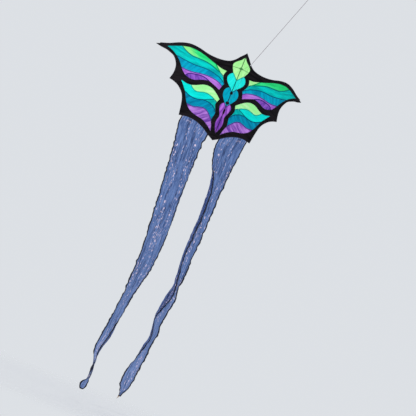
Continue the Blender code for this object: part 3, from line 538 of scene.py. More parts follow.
def add_ribbon(soup, line, lanes, side, layer, closed=False, tapers=(0.0, 0.0)):
    """A seam or hem on the front of the sail, a little proud along its middle."""
    share = np.linspace(-1, 1, len(lanes))
    depths = layer * LAYER - SEAM_CROWN * (1 - share ** 2)
    add_strip(soup, line, lanes, depths, side, closed, 1, tapers)


def tucked_ends(line):
    """A seam's line with each end that doesn't reach the spine drawn in a little, under what crosses it."""
    line = line.copy()
    for end, inner in ((0, 1), (-1, -2)):
        if line[end, 0] > 0.001:
            line[end] += unit(line[inner] - line[end]) * 0.0030
    return line


def add_grid(soup, points, flat, edge=1.0, slots=0):
    """A rectangular sheet of points, row by row."""
    faces = [face[:1] + face[:0:-1] for face in quads(*points.shape[:2])]
    soup.add(points.reshape(-1, 3), faces, flat.reshape(-1, 2), np.ravel(edge), np.ravel(slots))


def add_tube(soup, path, radius, sides):
    """A round bar along a path, patterned by how far along and how far round it is."""
    path = np.array(path, float)
    radius = np.broadcast_to(radius, len(path))
    ahead = unit(np.gradient(path, axis=0))
    normal = unit(np.cross(ahead[0], (0.0, 1.0, 0.0) if abs(ahead[0][1]) < 0.9 else (1.0, 0.0, 0.0)))
    rings, angles = [], np.arange(sides) * 2 * math.pi / sides
    for middle, way, size in zip(path, ahead, radius):
        normal = unit(normal - way * (normal @ way))
        other = np.cross(way, normal)
        rings.append(middle + size * (np.cos(angles)[:, None] * normal + np.sin(angles)[:, None] * other))
    last = (len(path) - 1) * sides
    faces = quads(len(path), sides, wrap=True)
    faces += [list(range(sides))[::-1], list(range(last, last + sides))]
    along, round_it = np.repeat(lengths(path), sides), np.tile(angles, len(path)) * np.repeat(radius, sides)
    soup.add(np.vstack(rings), faces, np.stack([along, round_it], axis=1))


# ---- materials

class Graph:
    """A material's nodes, one call for each."""

    def __init__(self, name):
        self.material = bpy.data.materials.new(name)
        self.material.use_nodes = True
        self.tree = self.material.node_tree
        self.tree.nodes.clear()

    def node(self, kind, inputs=None, output=0, **settings):
        """Adds a node and gives one of its outputs, or all of them if output is None.

        A colour may be given by three values from 0 to 255, as on a screen.
        """
        made = self.tree.nodes.new("ShaderNode" + kind)
        for key, value in settings.items():
            setattr(made, key, value)
        for key, value in (inputs or {}).items():
            entry = made.inputs[key]
            if isinstance(value, bpy.types.NodeSocket):
                self.tree.links.new(value, entry)
            elif entry.type == "RGBA" and len(value) == 3:
                entry.default_value = srgb(*value)
            else:
                entry.default_value = value
        return made.outputs if output is None else made.outputs[output]

    def math(self, operation, a, b=0.0):
        return self.node("Math", {0: a, 1: b}, operation=operation)

    def plus(self, a, b):
        return self.math("ADD", a, b)

    def times(self, a, b):
        return self.math("MULTIPLY", a, b)

    def apart(self, a, b):
        """The distance between two values."""
        return self.math("ABSOLUTE", self.math("SUBTRACT", a, b))

    def span(self, value, low, high, start=0.0, end=1.0):
        inputs = {0: value, 1: low, 2: high, 3: start, 4: end}
        return self.node("MapRange", inputs, interpolation_type="SMOOTHSTEP")

    def mix(self, factor, a, b):
        return self.node("Mix", {0: factor, 6: a, 7: b}, 2, data_type="RGBA")

    def blend(self, factor, a, b):
        return self.node("MixShader", {0: factor, 1: a, 2: b})

    def pattern(self, angle=0.0, along=1.0, across=1.0):
        """Places on the piece's own pattern, turned, and counted in lengths along and across."""
        flat = self.node("UVMap", uv_map="pattern")
        turned = {"Vector": flat, "Rotation": (0, 0, math.radians(-angle)), "Scale": (along, across, 1.0)}
        return self.node("Mapping", turned, vector_type="TEXTURE")

    def noise(self, vector, scale, detail, roughness=0.5):
        inputs = {"Vector": vector, "Scale": scale, "Detail": detail, "Roughness": roughness}
        return self.node("TexNoise", inputs)

    def streaks(self, angle, along, across, detail, roughness):
        """Noise on the pattern, in marks of a length and a width."""
        return self.noise(self.pattern(angle, along, across), 1.0, detail, roughness)

    def grain(self, scale, detail=2.0):
        """Noise placed by the piece's own metres, for pieces that have no pattern."""
        return self.noise(self.node("TexCoord", output=3), scale, detail)

    def edge(self):
        """How far inside its edges the cloth is."""
        return self.node("Attribute", attribute_name="edge", output=2)

    def split(self, vector):
        return self.node("SeparateXYZ", {0: vector}, None)[:2]

    def grid(self, pitch, width):
        """1 on thin square lines a pitch apart, 0 between them: a ripstop yarn every few millimetres."""
        cells = self.node("VectorMath", {0: self.pattern(0, pitch, pitch)}, operation="FRACTION")
        lines = [self.math("LESS_THAN", share, width / pitch) for share in self.split(cells)]
        return self.math("MAXIMUM", *lines)

    def bump(self, strength, distance, height, under=None):
        inputs = {"Strength": strength, "Distance": distance, "Height": height}
        return self.node("Bump", {**inputs, "Normal": under} if under else inputs)

    def surface(self, tone, roughness, bump, **more):
        inputs = {"Base Color": tone, "Roughness": roughness, "Normal": bump}
        inputs.update({name.replace("_", " "): value for name, value in more.items()})
        return self.node("BsdfPrincipled", inputs)

    def solid(self, shader):
        self.node("OutputMaterial", {0: shader}, None)
        return self.material

    def cloth(self, shader, tone, bump, glow):
        """A shader with light coming through from behind."""
        return self.blend(glow, shader, self.node("BsdfTranslucent", {"Color": tone, "Normal": bump}))

    def sheet(self, shader):
        """The shader on the outer faces only, so that thin solid cloth lets light through as one sheet."""
        inner = self.node("NewGeometry", output=6)
        return self.solid(self.blend(inner, shader, self.node("BsdfTransparent")))


def rod_shadows(graph):
    """Where the spine, the spar and the fitting show through the body panels from behind."""
    s, up = graph.split(graph.pattern())
    spine = graph.span(s, 0.0018, 0.0042, 1.0, 0.0)
    from_spar = graph.apart(graph.plus(up, graph.times(s, 0.10)), HUB_Z)
    spar = graph.span(from_spar, 0.0018, 0.0042, 0.62, 0.0)
    s_share, up_share = graph.math("DIVIDE", s, 0.024), graph.math("DIVIDE", from_spar, 0.015)
    round_hub = graph.plus(graph.times(s_share, s_share), graph.times(up_share, up_share))
    hub = graph.span(round_hub, 0.30, 1.1, 0.9, 0.0)
    return graph.math("MAXIMUM", graph.math("MAXIMUM", spine, spar), hub)


def cloth(name, shades, angle, glow=0.42, shadows=None, painted_glow=None, shine=0.07, fold_size=(0.16, 0.024)):
    """Ripstop sailcloth: shades are (painted full light, painted shade in the crease hollows, painted seam
    shade); glow is how much light comes through.
    """
    lit, hollow, _ = shades
    graph = Graph(name)
    folds = graph.streaks(angle, *fold_size, 3.0, 0.55)
    broad = graph.streaks(angle + 12, 0.35, 0.09, 1.5, 0.5)
    # painted light and shade: the folds and broad marks mix the painted crease-hollow shade into the painted
    # full light
    tone = graph.mix(graph.span(graph.plus(folds, graph.times(broad, 0.6)), 0.60, 0.98), hollow, lit)
    # painted glow of light shining through the cloth: paler lime towards the wing tip
    if painted_glow:
        s, up = graph.split(graph.pattern())
        outwards = graph.math("SUBTRACT", s, graph.times(up, 1.2))
        outwards = graph.plus(outwards, graph.times(folds, 0.20))
        tone = graph.mix(graph.span(outwards, 0.80, 0.90, 0.0, 0.85), tone, painted_glow)
    yarn = graph.grid(0.0055, 0.0006)
    weave = graph.streaks(0, 0.0009, 0.0011, 2.0, 0.6)
    # painted shade: darker towards the painted crease shade within 10 mm of the cloth's edges and seams
    tone = graph.mix(graph.span(graph.edge(), 0.0, 0.010, 0.16, 0.0), tone, hollow)
    tone = graph.mix(graph.times(yarn, 0.10), tone, (0.0, 0.0, 0.0, 1.0))
    tone = graph.mix(graph.times(weave, 0.10), tone, lit)
    if shadows:
        tone = graph.mix(graph.times(rod_shadows(graph), 0.88), tone, shadows)
    bump = graph.bump(0.35, 0.0003, graph.plus(graph.times(yarn, 0.6), weave))
    bump = graph.bump(0.55, 0.0026, graph.streaks(angle + 4, 0.045, 0.0085, 3.0, 0.6), bump)
    surface = graph.surface(tone, graph.span(folds, 0.3, 0.7, 0.46, 0.68), bump,
                            Specular_IOR_Level=shine, Sheen_Weight=0.01, Sheen_Roughness=0.4)
    return graph.sheet(graph.cloth(surface, tone, bump, glow))


def stitched(name, colour, thread, glow=0.12):
    """A seam or a hem: doubled cloth with a row of stitches near each edge."""
    graph = Graph(name)
    steps = graph.math("FRACT", graph.math("DIVIDE", graph.split(graph.pattern())[0], STITCH))
    dash = graph.math("LESS_THAN", steps, 0.72)
    row = graph.math("LESS_THAN", graph.apart(graph.edge(), 0.0016), 0.0004)
    stitch = graph.times(dash, row)
    wear = graph.streaks(0, 0.035, 0.004, 3.0, 0.6)
    tone = graph.mix(graph.span(wear, 0.35, 0.75, 0.0, 0.35), colour, thread)
    tone = graph.mix(graph.times(stitch, 0.7), tone, thread)
    bump = graph.bump(0.5, 0.0005, graph.plus(graph.times(stitch, 1.5), wear))
    surface = graph.surface(tone, 0.62, bump, Specular_IOR_Level=0.08)
    return graph.sheet(graph.cloth(surface, tone, bump, glow))


def organza(name):
    """Sheer dark streamer cloth, creased and crinkled down its length, painted blue for the sky seen through
    it, with painted shade in its creases, painted sheen on its crinkles and painted glints in bands.
    """
    graph = Graph(name)
    streak = graph.streaks(0, 0.020, 0.17, 4.0, 0.62)
    crinkle = graph.streaks(0, 0.0060, 0.032, 3.0, 0.65)
    line = graph.streaks(0, 0.034, 0.60, 2.0, 0.5)
    crease = graph.span(graph.apart(line, 0.5), 0.006, 0.034, 0.75, 0.0)
    flecks = graph.streaks(0, 0.0105, 0.034, 1.5, 0.5)
    bands = graph.streaks(0, 0.055, 0.45, 2.0, 0.5)
    glints = graph.times(graph.span(flecks, 0.55, 0.66, 0.0, 0.85), graph.span(bands, 0.46, 0.60))
    warp = graph.node("TexWave", {"Vector": graph.pattern(0, 0.004, 0.004), "Scale": 1.0, "Distortion": 0.6})
    # painted sky light: the blue of the cloth stands in for the sky seen through neutral dark organza
    body = graph.mix(graph.span(streak, 0.36, 0.62), (44, 66, 116), (112, 138, 190))
    # painted sheen, paler on the crinkles
    body = graph.mix(graph.span(crinkle, 0.44, 0.66, 0.0, 0.45), body, (150, 162, 200))
    down = graph.split(graph.pattern())[1]
    body = graph.mix(graph.span(down, 1.6, 3.8, 0.0, 0.5), body, (158, 176, 218))
    # painted shade in the creases
    body = graph.mix(crease, body, (34, 46, 84))
    # painted glints
    body = graph.mix(glints, body, (250, 226, 240))
    thickness = graph.plus(graph.span(streak, 0.30, 0.70, 0.42, 0.62), graph.times(glints, 0.5))
    thickness = graph.plus(thickness, graph.times(warp, 0.06))
    bump = graph.bump(0.6, 0.0030, graph.plus(streak, crinkle))
    surface = graph.surface(body, 0.42, bump, Specular_IOR_Level=0.2, Sheen_Weight=0.05, Sheen_Roughness=0.3)
    # painted sky light in the blue of the see-through tint, with painted shade where it creases
    tint = graph.mix(crease, (98, 130, 190), (52, 70, 118))
    open_weave = graph.node("BsdfTransparent", {"Color": tint})
    return graph.sheet(graph.blend(thickness, open_weave, graph.cloth(surface, body, bump, 0.35)))


def rod_finish(name):
    """Pultruded rod: satin black with fine fibres down its length and scuffed patches."""
    graph = Graph(name)
    fibres = graph.streaks(0, 0.060, 0.0004, 3.0, 0.6)
    scuffs = graph.streaks(0, 0.020, 0.006, 2.0, 0.5)
    tone = graph.mix(fibres, (22, 22, 24), (52, 52, 55))
    tone = graph.mix(graph.span(scuffs, 0.58, 0.75, 0.0, 0.35), tone, (92, 92, 94))
    rough = graph.span(scuffs, 0.4, 0.7, 0.26, 0.5)
    return graph.solid(graph.surface(tone, rough, graph.bump(0.25, 0.0001, fibres)))


def vinyl(name):
    """Moulded soft vinyl with a fine grain and rubbed edges."""
    graph = Graph(name)
    grain, rubbed = graph.grain(2600.0), graph.grain(160.0)
    tone = graph.mix(graph.span(rubbed, 0.45, 0.75), (20, 24, 22), (46, 50, 48))
    tone = graph.mix(graph.times(grain, 0.2), tone, (70, 74, 72))
    rough = graph.span(rubbed, 0.3, 0.7, 0.42, 0.6)
    return graph.solid(graph.surface(tone, rough, graph.bump(0.3, 0.0001, grain)))


def steel(name):
    """Plated spring steel, bright with faint drawing lines and a little tarnish."""
    graph = Graph(name)
    drawn, tarnish = graph.grain(1800.0), graph.grain(220.0, 3.0)
    tone = graph.mix(graph.span(tarnish, 0.42, 0.72), (206, 206, 210), (150, 145, 138))
    rough = graph.span(tarnish, 0.35, 0.75, 0.18, 0.38)
    return graph.solid(graph.surface(tone, rough, graph.bump(0.2, 0.00005, drawn), Metallic=1.0))


def braid(name, pale, dark):
    """Braided cord: pale filaments with darker crossings."""
    graph = Graph(name)
    filaments = graph.streaks(20, 0.0040, 0.0003, 2.0, 0.6)
    soiled = graph.streaks(0, 0.030, 0.030, 2.0, 0.5)
    tone = graph.mix(graph.span(filaments, 0.35, 0.7), dark, pale)
    tone = graph.mix(graph.span(soiled, 0.55, 0.8, 0.0, 0.3), tone, dark)
    return graph.solid(graph.surface(tone, 0.7, graph.bump(0.6, 0.0002, filaments), Sheen_Weight=0.2))


def floor_finish(name, colour):
    """A plain pale floor that thins away towards its rim, with the faint mottle of matt paper."""
    graph = Graph(name)
    tone = graph.mix(graph.times(graph.grain(3.0, 3.0), 0.12), colour, (0.55, 0.57, 0.60, 1.0))
    paper = graph.node("BsdfPrincipled", {"Base Color": tone, "Roughness": 0.9, "Specular IOR Level": 0.1})
    away = graph.node("VectorMath", {0: graph.node("TexCoord", output=3)}, 1, operation="LENGTH")
    seen = graph.span(away, FLOOR_CLEAR_FROM, FLOOR_CLEAR_TO, 1.0, 0.0)
    return graph.solid(graph.blend(seen, graph.node("BsdfTransparent"), paper))


# ---- the sail

def wing_bend(hand, side):
    """The spine's body and the wing's, with two places at the hub's height, the second a little way out from
    the spine.
    """
    return "spine_frame", f"{hand}_wing", (0.0, SAIL_Y, HUB_Z), (side * FOLD_BLEND, SAIL_Y, HUB_Z)


def make_border(hand, side):
    loops = [loop_of(loop) for loop in (BORDER_OUTER, *BORDER_OPENINGS)]
    soup = Soup()
    add_sheet(soup, loops, loops, side, -2, lambda flat, edge: (
        creases(flat, edge, 10, 0.0013, 2.0) + creases(flat, edge, -35, 0.0008, 6.0)))
    hem, lap = (np.linspace(0.0002, width, 4) for width in (HEM_WIDTH, LAP_WIDTH))
    for (curve, first, last), tapers in zip(BORDER_OUTER, HEM_TAPERS):
        add_ribbon(soup, stretch(curve, first, last), hem, side, -3, tapers=tapers)
    for opening in loops[1:]:
        add_ribbon(soup, opening, lap, side, -3, closed=True)
    for curve, last, first in BORDER_OUTER[len(HEM_TAPERS):]:
        add_ribbon(soup, stretch(curve, first, last), -lap, side, -3)
    soup.hang(f"{hand}_border_cloth", [BLACK_CLOTH, BLACK_HEM], "sail_black",
              [f"{hand}_wing_border"], wing_bend(hand, side))


def make_panel(hand, side, name, number):
    colour_name, layer, angle, depth, _, stretches, seams = PANELS[name]
    # the left upper emerald panel carries a painted glow of light shining through it
    made = BACKLIT_EMERALD if (hand, name) == ("left", "upper_emerald") else PANEL_CLOTHS[name]
    drawn = loop_of(stretches)
    soup = Soup()
    add_sheet(soup, [offset(drawn, TUCK, True)], [drawn], side, layer, lambda flat, edge: (
        PUFF * ease(edge / PUFF_REACH) + creases(flat, edge, angle, depth * MM, 11.0 + number)))
    lanes = np.linspace(-SEAM_WIDTH / 2, SEAM_WIDTH / 2, 4)
    for seam in seams:
        add_ribbon(soup, tucked_ends(stretch(*seam)), lanes, side, -1)
    where = wing_bend(hand, side) if name in CENTRE_PANELS else f"{hand}_wing"
    soup.hang(f"{hand}_{name}_cloth", [made, PANEL_SEAMS[name]], f"sail_{colour_name}",
              [f"{hand}_{name}_panel"], where)


def make_patches(hand, side):
    """The doubled cloth where the bridle ties in, and the dark lens sewn on the tail leaf."""
    angles = np.linspace(-math.pi / 2, math.pi / 2, 25)
    for name, (middle, half_width, half_height, power, replaced) in PATCHES.items():
        across, up = half_width * np.cos(angles) ** power, middle + half_height * np.sin(angles)
        outline = np.stack([across, up], axis=1)
        soup = Soup()
        add_sheet(soup, [outline], [outline], side, -2, lambda flat, edge: -0.0007 * ease(edge / 0.004))
        add_ribbon(soup, outline[::-1], np.linspace(0.0002, 0.0030, 3), side, -3)
        soup.hang(f"{hand}_{name}_cloth", [BLACK_CLOTH, BLACK_HEM], "sail_black",
                  replaced, wing_bend(hand, side))


# ---- rods, their pockets and the spine

def flat_between(line, ends):
    """A drawn rod line in metres as (s, up), between two distances out from the spine."""
    flat = spline(line, 8.0)[0] * MM * (1, -1)
    rows = [(s, np.interp(s, flat[:, 0], flat[:, 1])) for s in ends]
    inside = (flat[:, 0] > ends[0] + 0.001) & (flat[:, 0] < ends[1] - 0.001)
    return np.vstack([rows[:1], flat[inside], rows[1:]])


def make_rods(hand, side):
    """The spar and the batten, and the long pockets of cloth behind the sail that hold them.

    A pocket is stretched over its rod and sewn down on both sides of it.
    """
    pockets = Soup()
    for name, (radius, ends, pocket_ends, line) in RODS.items():
        rod = Soup()
        add_tube(rod, bowed(flat_between(line, ends), ROD_DEPTH, side), radius, 16)
        rod.hang(f"{hand}_{name}_rod", [ROD], "rod", [f"{hand}_{name}"], f"{hand}_wing", 0)
        over = radius + 0.0009
        lanes = np.array([-3.6, -2.7, -1.7, -1.15, -0.6, 0.0, 0.6, 1.15, 1.7, 2.7, 3.6]) * over
        depths = [-0.0005, -0.0004, 0.0008, ROD_DEPTH, ROD_DEPTH + 0.8 * over, ROD_DEPTH + over]
        add_strip(pockets, flat_between(line, pocket_ends), lanes, depths + depths[-2::-1], side)
    pockets.hang(f"{hand}_rod_pockets", [BLACK_CLOTH], "sail_black", [], f"{hand}_wing")


def make_joiner_neck(hand, side):
    """The soft neck between the centre fitting and the spar's joiner."""
    hub_low, hub_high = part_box("centre_fitting")
    near = min(abs(corner.x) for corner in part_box(f"{hand}_spar_joiner"))
    start = np.array([side * (hub_high.x - 0.0006), (hub_low.y + hub_high.y) / 2, HUB_Z])
    end = np.array([side * (near + 0.0008), 0.0, HUB_Z - 0.0016])
    share = np.linspace(0, 1, 15)
    radius = 0.0030 - 0.0007 * np.sin(share * math.pi) + 0.0002 * np.cos(share * math.pi * 10)
    soup = Soup()
    add_tube(soup, start + share[:, None] * (end - start), radius, 20)
    bend = ("spine_frame", f"{hand}_wing", (start[0], 0, HUB_Z), (end[0], 0, HUB_Z))
    soup.hang(f"{hand}_joiner_neck", [VINYL], "vinyl", [], bend, 0)


def make_spine():
    rod_low, rod_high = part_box("spine_rod")
    soup = Soup()
    ups = np.linspace(rod_high.z, rod_low.z, 60)
    add_tube(soup, np.stack([0 * ups, 0 * ups, ups], axis=1), SPINE_RADIUS, 16)
    soup.hang("spine_rod_smooth", [ROD], "rod", ["spine_rod"], "spine_frame", 0)
    sleeve_low, sleeve_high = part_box("spine_sleeve")
    hub_low, hub_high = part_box("centre_fitting")
    tunnel = SPINE_RADIUS + 0.0006
    turns = np.linspace(-0.30, math.pi + 0.30, 15)
    across = np.concatenate([[-0.0064, -0.0045], -tunnel * np.cos(turns), [0.0045, 0.0064]])
    back = np.concatenate([[-0.0024, -0.0023], tunnel * np.sin(turns), [-0.0023, -0.0024]])
    middle = np.sin(np.linspace(0, math.pi, len(across)))
    soup = Soup()
    for top, bottom in ((sleeve_high.z, hub_high.z + 0.003), (hub_low.z - 0.003, sleeve_low.z)):
        ups = np.arange(top, bottom, -0.009)
        gather = 1 + 0.10 * field(ups / 0.022, ups * 0, 21.0)[:, None] * middle
        height = np.broadcast_to(ups[:, None], gather.shape)
        points = np.stack([across * gather, back * gather, height], axis=2)
        add_grid(soup, points, np.stack(np.meshgrid(across, ups), axis=2))
    soup.hang("spine_sleeve_cloth", [BLACK_CLOTH], "sail_black", ["spine_sleeve"], "spine_frame")


# ---- the streamer tails

def tail_table(hand):
    """Smooth samples of the tail's shape: down, inner, outer and fold in metres, and the rolled share."""
    scale = np.array([1, 1, 1, 1, 300.0])
    rows = np.array([(*row, 0, 0)[:5] for row in TAIL_SHAPE[hand]], float)
    dense = spline(rows * scale, 10.0)[0] / scale * (MM, MM, MM, MM, 1)
    return dense[np.argsort(dense[:, 0])]


def tail_points(table, side, up, share, top_up, top_x):
    """Places of the streamer's cloth at heights, each a share of the cloth's width from its inner edge."""
    seed = 5.0 if side < 0 else 8.0
    down = -up
    inner, outer, fold, rolled = (np.interp(down, table[:, 0], table[:, k]) for k in range(1, 5))
    rolled, fold = np.clip(rolled, 0, 1), np.maximum(fold, 0)
    middle = (inner + outer) / 2
    hang, grown = ease((top_up - up) / TAIL_EASE), ease((top_up - up) / TAIL_GROWTH)
    free = ease((down - TAIL_FREE[0]) / TAIL_FREE[1])
    from_edge = np.minimum(share, 1 - share)

    ruffle = field(down / 0.050, share * 1.4, seed + 40) + 0.6 * field(down / 0.030, share * 3, seed + 50)
    ruffle = hang * EDGE_RUFFLE * ruffle * (1 - 0.6 * ease(from_edge / 0.15))
    from_turn = share * (outer - inner + fold) - fold
    crook = TAIL_CROOK * ease(fold / 0.008)
    x = inner + np.sqrt(from_turn ** 2 + crook ** 2) - crook * 0.6 + ruffle
    x = top_x * (1 - hang) + x * hang

    bow = BOW_RADIUS - np.sqrt(BOW_RADIUS ** 2 - x ** 2)
    flat = np.stack([BOW_RADIUS * np.arcsin(x / BOW_RADIUS), up], axis=-1)
    behind_sail = SAIL_Y + bow + billow(flat.reshape(-1, 2)).reshape(x.shape) + 0.0022
    bowed_part = ease((up + 1.35) / 0.40)
    y = behind_sail * bowed_part + TAIL_DEPTH * (1 - bowed_part)
    for depth, wide, long, key in TAIL_WAVES:
        y = y + grown * depth * field(share * TAIL_WIDTH / wide, down / long, seed + key)
    flutter = field(down / 0.040, share * 2, seed + 70) * ease(1 - from_edge / 0.10)
    y = y + hang * EDGE_FLUTTER * flutter
    y = y - FOLD_LIFT * ease(0.5 - from_turn / 0.012) * ease(fold / 0.010)
    y = y + TAIL_TWIST * np.sin(down * 2.3 + seed) * free * (x - middle)
    y = y + free * TAIL_SWAY * np.sin(down * 2.9 + seed * 2)

    turn = 2 * math.pi * ROLL_TURNS * share + down * ROLL_TWIST
    radius = (outer - inner) / 2 * (0.35 + 0.65 * share)
    x = x * (1 - rolled) + (middle + radius * np.cos(turn)) * rolled
    y = y * (1 - rolled) + (TAIL_DEPTH + radius * np.sin(turn)) * rolled
    return np.stack([side * x, y, up], axis=-1)


def make_frayed_end(row):
    """Loose threads hanging from the last row of a streamer."""
    soup = Soup()
    share = np.linspace(0, 1, 8)[:, None]
    for number in range(9):
        start = row[(number + 1) * (len(row) - 1) // 10]
        lean = np.array([noise.noise((number * 1.7, v, w)) for v, w in ((0.3, 4.0), (5.3, 9.0))] + [0.0])
        reach = np.array([-0.010, 0.0, -0.026]) * (0.7 + 0.3 * (number % 3)) + lean * 0.018
        sag = np.sin(share * math.pi) * lean[::-1] * 0.012
        add_tube(soup, start + np.array([0, 0, 0.003]) + share * reach + sag, 0.0009, 6)
    body = "right_tail_lower_length"
    soup.hang("right_tail_frayed_end", [FRAYED_THREAD], "streamer", [], body, 0)


def make_tail(hand, side):
    hollow = stretch("tail_hollow", 7, 0)
    table = tail_table(hand)
    for length, (top, bottom, body_a, body_b, above, below) in TAIL_LENGTHS.items():
        bottom = bottom or -TAIL_SHAPE[hand][-1][0] * MM
        rows = math.ceil((top - bottom) / TAIL_ROW)
        down_share = np.linspace(0, 1, rows + 1)[:, None]
        rough_down = -top * (1 - down_share) - bottom * down_share
        inner, outer, fold = (np.interp(rough_down, table[:, 0], table[:, k]) for k in (1, 2, 3))
        width = outer - inner + fold
        hem = np.clip(TAIL_HEM / np.maximum(width, 0.001), 0.02, 0.2)
        between = hem + (1 - 2 * hem) * np.linspace(0, 1, TAIL_COLUMNS)
        share = np.hstack([0 * hem, hem / 2, between, 1 - hem / 2, 1 + 0 * hem])
        sewn = TAIL_SEWN[0] + (TAIL_SEWN[1] - TAIL_SEWN[0]) * share
        top_up = np.interp(sewn, hollow[:, 0], hollow[:, 1]) + TAIL_TUCK
        top_x = BOW_RADIUS * np.sin(sewn / BOW_RADIUS)
        first_up = top_up[:1] if length == "upper" else top
        up = first_up * (1 - down_share) + bottom * down_share + 0 * share
        points = tail_points(table, side, up, share, top_up, top_x)

        cloth_soup, beads = Soup(), Soup()
        hemmed = np.zeros((rows, share.shape[1] - 1), int)
        hemmed[:, :2] = hemmed[:, -2:] = 1
        for column in (0, -1):
            add_tube(beads, points[:, column], BEAD_RADIUS, 8)
        if length == "lower":
            hemmed[-1] = 1
            add_tube(beads, points[-1], BEAD_RADIUS, 8)
        flat = np.stack([share * TAIL_WIDTH, -up], axis=2)
        add_grid(cloth_soup, points, flat, np.minimum(share, 1 - share) * width, hemmed)
        ends = ((side * s, 0, up) for s, up in (above, below))
        bend = (f"{hand}_{body_a}", f"{hand}_{body_b}", *ends)
        name = f"{hand}_tail_{length}"
        cloth_soup.hang(name + "_cloth", [ORGANZA, TAIL_EDGE], "streamer", [name], bend)
        beads.hang(name + "_bead", [BEAD_CORD], "streamer", [], bend, 0)
    if hand == "right":
        make_frayed_end(points[-1])


# ---- the bridle and the flying line

def swing(way, turn):
    """Unit steps to the side of a direction, one for each angle round it."""
    side_way = np.array([1.0, 0.0, 0.0])
    return np.cos(turn)[:, None] * side_way + np.sin(turn)[:, None] * np.cross(way, side_way)


def add_strands(soup, start, end, radius, lay):
    """A cord laid from three strands between two points, each turning once in a lay."""
    length, way = np.linalg.norm(end - start), unit(end - start)
    along = np.linspace(0, length, max(8, math.ceil(length / lay * 8)))
    for strand in range(3):
        turn = (along / lay + strand / 3) * 2 * math.pi
        add_tube(soup, start + along[:, None] * way + swing(way, turn) * radius * 0.5, radius * 0.55, 6)


def add_knot(soup, start, way, radius, turns):
    """A short whipping of cord wound round another along a direction."""
    turn = np.linspace(0, turns * 2 * math.pi, turns * 14)
    rise = (turn / (2 * math.pi))[:, None] * way
    add_tube(soup, start + (swing(way, turn) + rise) * radius * 1.5, radius * 0.7, 8)


def make_rigging():
    ring_low, ring_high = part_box("tow_ring")
    tow = np.array((ring_low + ring_high) / 2)
    ring_reach = (ring_high.z - ring_low.z) / 2 + 0.0004
    for name in ("upper_bridle_leg", "lower_bridle_leg"):
        low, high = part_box(name)
        foot = np.array([0.0, high.y - 0.0002, low.z + 0.0006])
        way = unit(tow - foot)
        end = tow - way * ring_reach
        soup = Soup()
        add_strands(soup, foot, end, BRIDLE_RADIUS, BRIDLE_LAY)
        add_knot(soup, foot + way * 0.001, way, BRIDLE_RADIUS, 3)
        add_knot(soup, end - way * 0.0050, way, 0.0008, 3)
        soup.hang(name + "_cord", [BRIDLE_CORD], "bridle_cord", [name], "bridle", 0)
    low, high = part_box("flying_line")
    near, far = np.array([0.0, high.y, low.z]), np.array([0.0, low.y, high.z])
    soup = Soup()
    add_strands(soup, near, far, LINE_RADIUS, LINE_LAY)
    add_knot(soup, near, unit(far - near), 0.0010, 4)
    soup.hang("flying_line_cord", [LINE_CORD], "flying_line", ["flying_line"], "line", 0)


def finish_cad_pieces():
    """Materials for the CAD pieces that are kept as they are."""
    steel_nodes = ("tow_ring", "snap_hook", "snap_gate", "swivel_barrel")
    vinyl_nodes = ("nose_cap", "tail_cap", "centre_fitting", "left_tip_cap", "right_tip_cap",
                   "left_spar_joiner", "right_spar_joiner")
    for made, nodes in ((STEEL, steel_nodes), (VINYL, vinyl_nodes)):
        for node in nodes:
            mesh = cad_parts[node].data
            mesh.materials.clear()
            mesh.materials.append(made)


# ---- floor, light and camera

FRAME_WIDTH = 4.243  # metres across the picture at the kite
CAMERA_DISTANCE = 60.0
SENSOR = 36.0
LOOK_SIDE, LOOK_UP, LOOK_ROLL = math.radians(18.0), math.radians(0.25), math.radians(22.05)
FLOOR_RADIUS, FLOOR_GAP = 5.2, 0.12
FLOOR_CLEAR_FROM, FLOOR_CLEAR_TO = 1.6, 5.0  # the floor thins away between these distances
NOSE_IN_FRAME = (0.4019, 1.5764)  # how far right of and above the picture's middle the nose is, in metres


def make_camera():
    level = Vector((math.cos(LOOK_SIDE), -math.sin(LOOK_SIDE), 0.0))
    ahead = Vector((math.sin(LOOK_SIDE), math.cos(LOOK_SIDE), 0.0)) * math.cos(LOOK_UP)
    back = Vector((0.0, 0.0, math.sin(LOOK_UP))) - ahead
    upright = back.cross(level)
    right = level * math.cos(LOOK_ROLL) + upright * math.sin(LOOK_ROLL)
    up = upright * math.cos(LOOK_ROLL) - level * math.sin(LOOK_ROLL)
    camera = place("camera", bpy.data.cameras.new("camera"))
    camera.data.sensor_width = SENSOR
    camera.data.lens = SENSOR * CAMERA_DISTANCE / FRAME_WIDTH
    camera.data.clip_end = 200.0
    camera.rotation_euler = Matrix((right, up, back)).transposed().to_euler()
    aim = Vector((0.0, SAIL_Y, 0.0)) - right * NOSE_IN_FRAME[0] - up * NOSE_IN_FRAME[1]
    camera.location = aim + back * CAMERA_DISTANCE
    bpy.context.scene.camera = camera


def make_sun(name, direction, strength, spread, colour):
    """A soft distant light shining along a direction."""
    light = bpy.data.lights.new(name, "SUN")
    light.energy = strength
    light.angle = math.radians(spread)
    light.color = colour
    place(name, light).rotation_euler = Vector(direction).to_track_quat("-Z", "Y").to_euler()


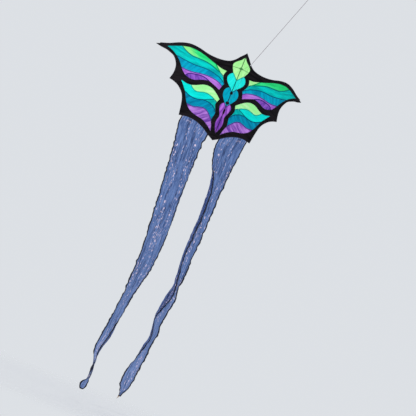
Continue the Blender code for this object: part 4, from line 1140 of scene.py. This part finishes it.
def make_stage():
    mesh = bpy.data.meshes.new("floor")
    shape = bmesh.new()
    bmesh.ops.create_circle(shape, cap_ends=True, segments=96, radius=FLOOR_RADIUS)
    shape.to_mesh(mesh)
    shape.free()
    mesh.materials.append(floor_finish("floor_paper", (0.63, 0.64, 0.66, 1.0)))
    floor = place("floor", mesh)
    floor.location = (0.0, 0.0, CAD_BOX[0].z - FLOOR_GAP)
    world = bpy.data.worlds.new("studio")
    world.use_nodes = True
    background = world.node_tree.nodes["Background"]
    background.inputs["Color"].default_value = (0.80, 0.83, 0.87, 1.0)
    background.inputs["Strength"].default_value = 0.90
    bpy.context.scene.world = world
    make_sun("key", (0.80, 0.58, -0.48), 1.9, 10.0, (1.0, 0.98, 0.95))
    make_sun("back", (-0.35, -0.80, -0.30), 0.7, 20.0, (1.0, 1.0, 1.0))
    bpy.context.scene.view_settings.view_transform = "Standard"


# ---- the whole kite

BLACK_CLOTH = cloth("black_ripstop", BLACK_SHADES, 12, glow=0.02, shine=0.05, fold_size=(0.24, 0.024))
BLACK_HEM = stitched("black_hem", (16, 14, 20), (54, 50, 60), glow=0.03)
ROD_SHADOWS = dict.fromkeys(CENTRE_PANELS, (10, 30, 44))
ROD_SHADOWS.update(head=(20, 126, 56), thorax=(0, 74, 80))
PANEL_CLOTHS, PANEL_SEAMS = {}, {}
for panel_name, (_, _, crease_angle, _, panel_shades, _, _) in PANELS.items():
    PANEL_CLOTHS[panel_name] = cloth(
        f"{panel_name}_ripstop", panel_shades, crease_angle, shadows=ROD_SHADOWS.get(panel_name))
    # each seam is drawn in its panel's painted seam shade, with stitches in its painted crease shade
    PANEL_SEAMS[panel_name] = stitched(f"{panel_name}_seam", panel_shades[2], panel_shades[1])
BACKLIT_EMERALD = cloth(  # painted glow of light shining through, paler towards the wing tip, on the left only
    "backlit_emerald_ripstop", PANELS["upper_emerald"][4], PANELS["upper_emerald"][2],
    painted_glow=PANELS["upper_lime"][4][1])
ORGANZA = organza("streamer_organza")
TAIL_EDGE = stitched("streamer_edge", (20, 22, 34), (66, 68, 92), glow=0.05)
ROD = rod_finish("black_rod")
VINYL = vinyl("black_vinyl")
STEEL = steel("spring_steel")
BEAD_CORD = braid("bead_cord", (44, 46, 62), (20, 22, 34))
FRAYED_THREAD = braid("frayed_thread", (206, 164, 112), (128, 92, 56))
BRIDLE_CORD = braid("bridle_cord", (104, 98, 102), (44, 41, 45))
LINE_CORD = braid("line_cord", (136, 114, 126), (84, 66, 78))

for wing in SIDES.items():
    make_border(*wing)
    for panel_number, panel_name in enumerate(PANELS):
        make_panel(*wing, panel_name, panel_number)
    make_patches(*wing)
    make_rods(*wing)
    make_joiner_neck(*wing)
    make_tail(*wing)
make_spine()
make_rigging()
finish_cad_pieces()
make_stage()
make_camera()
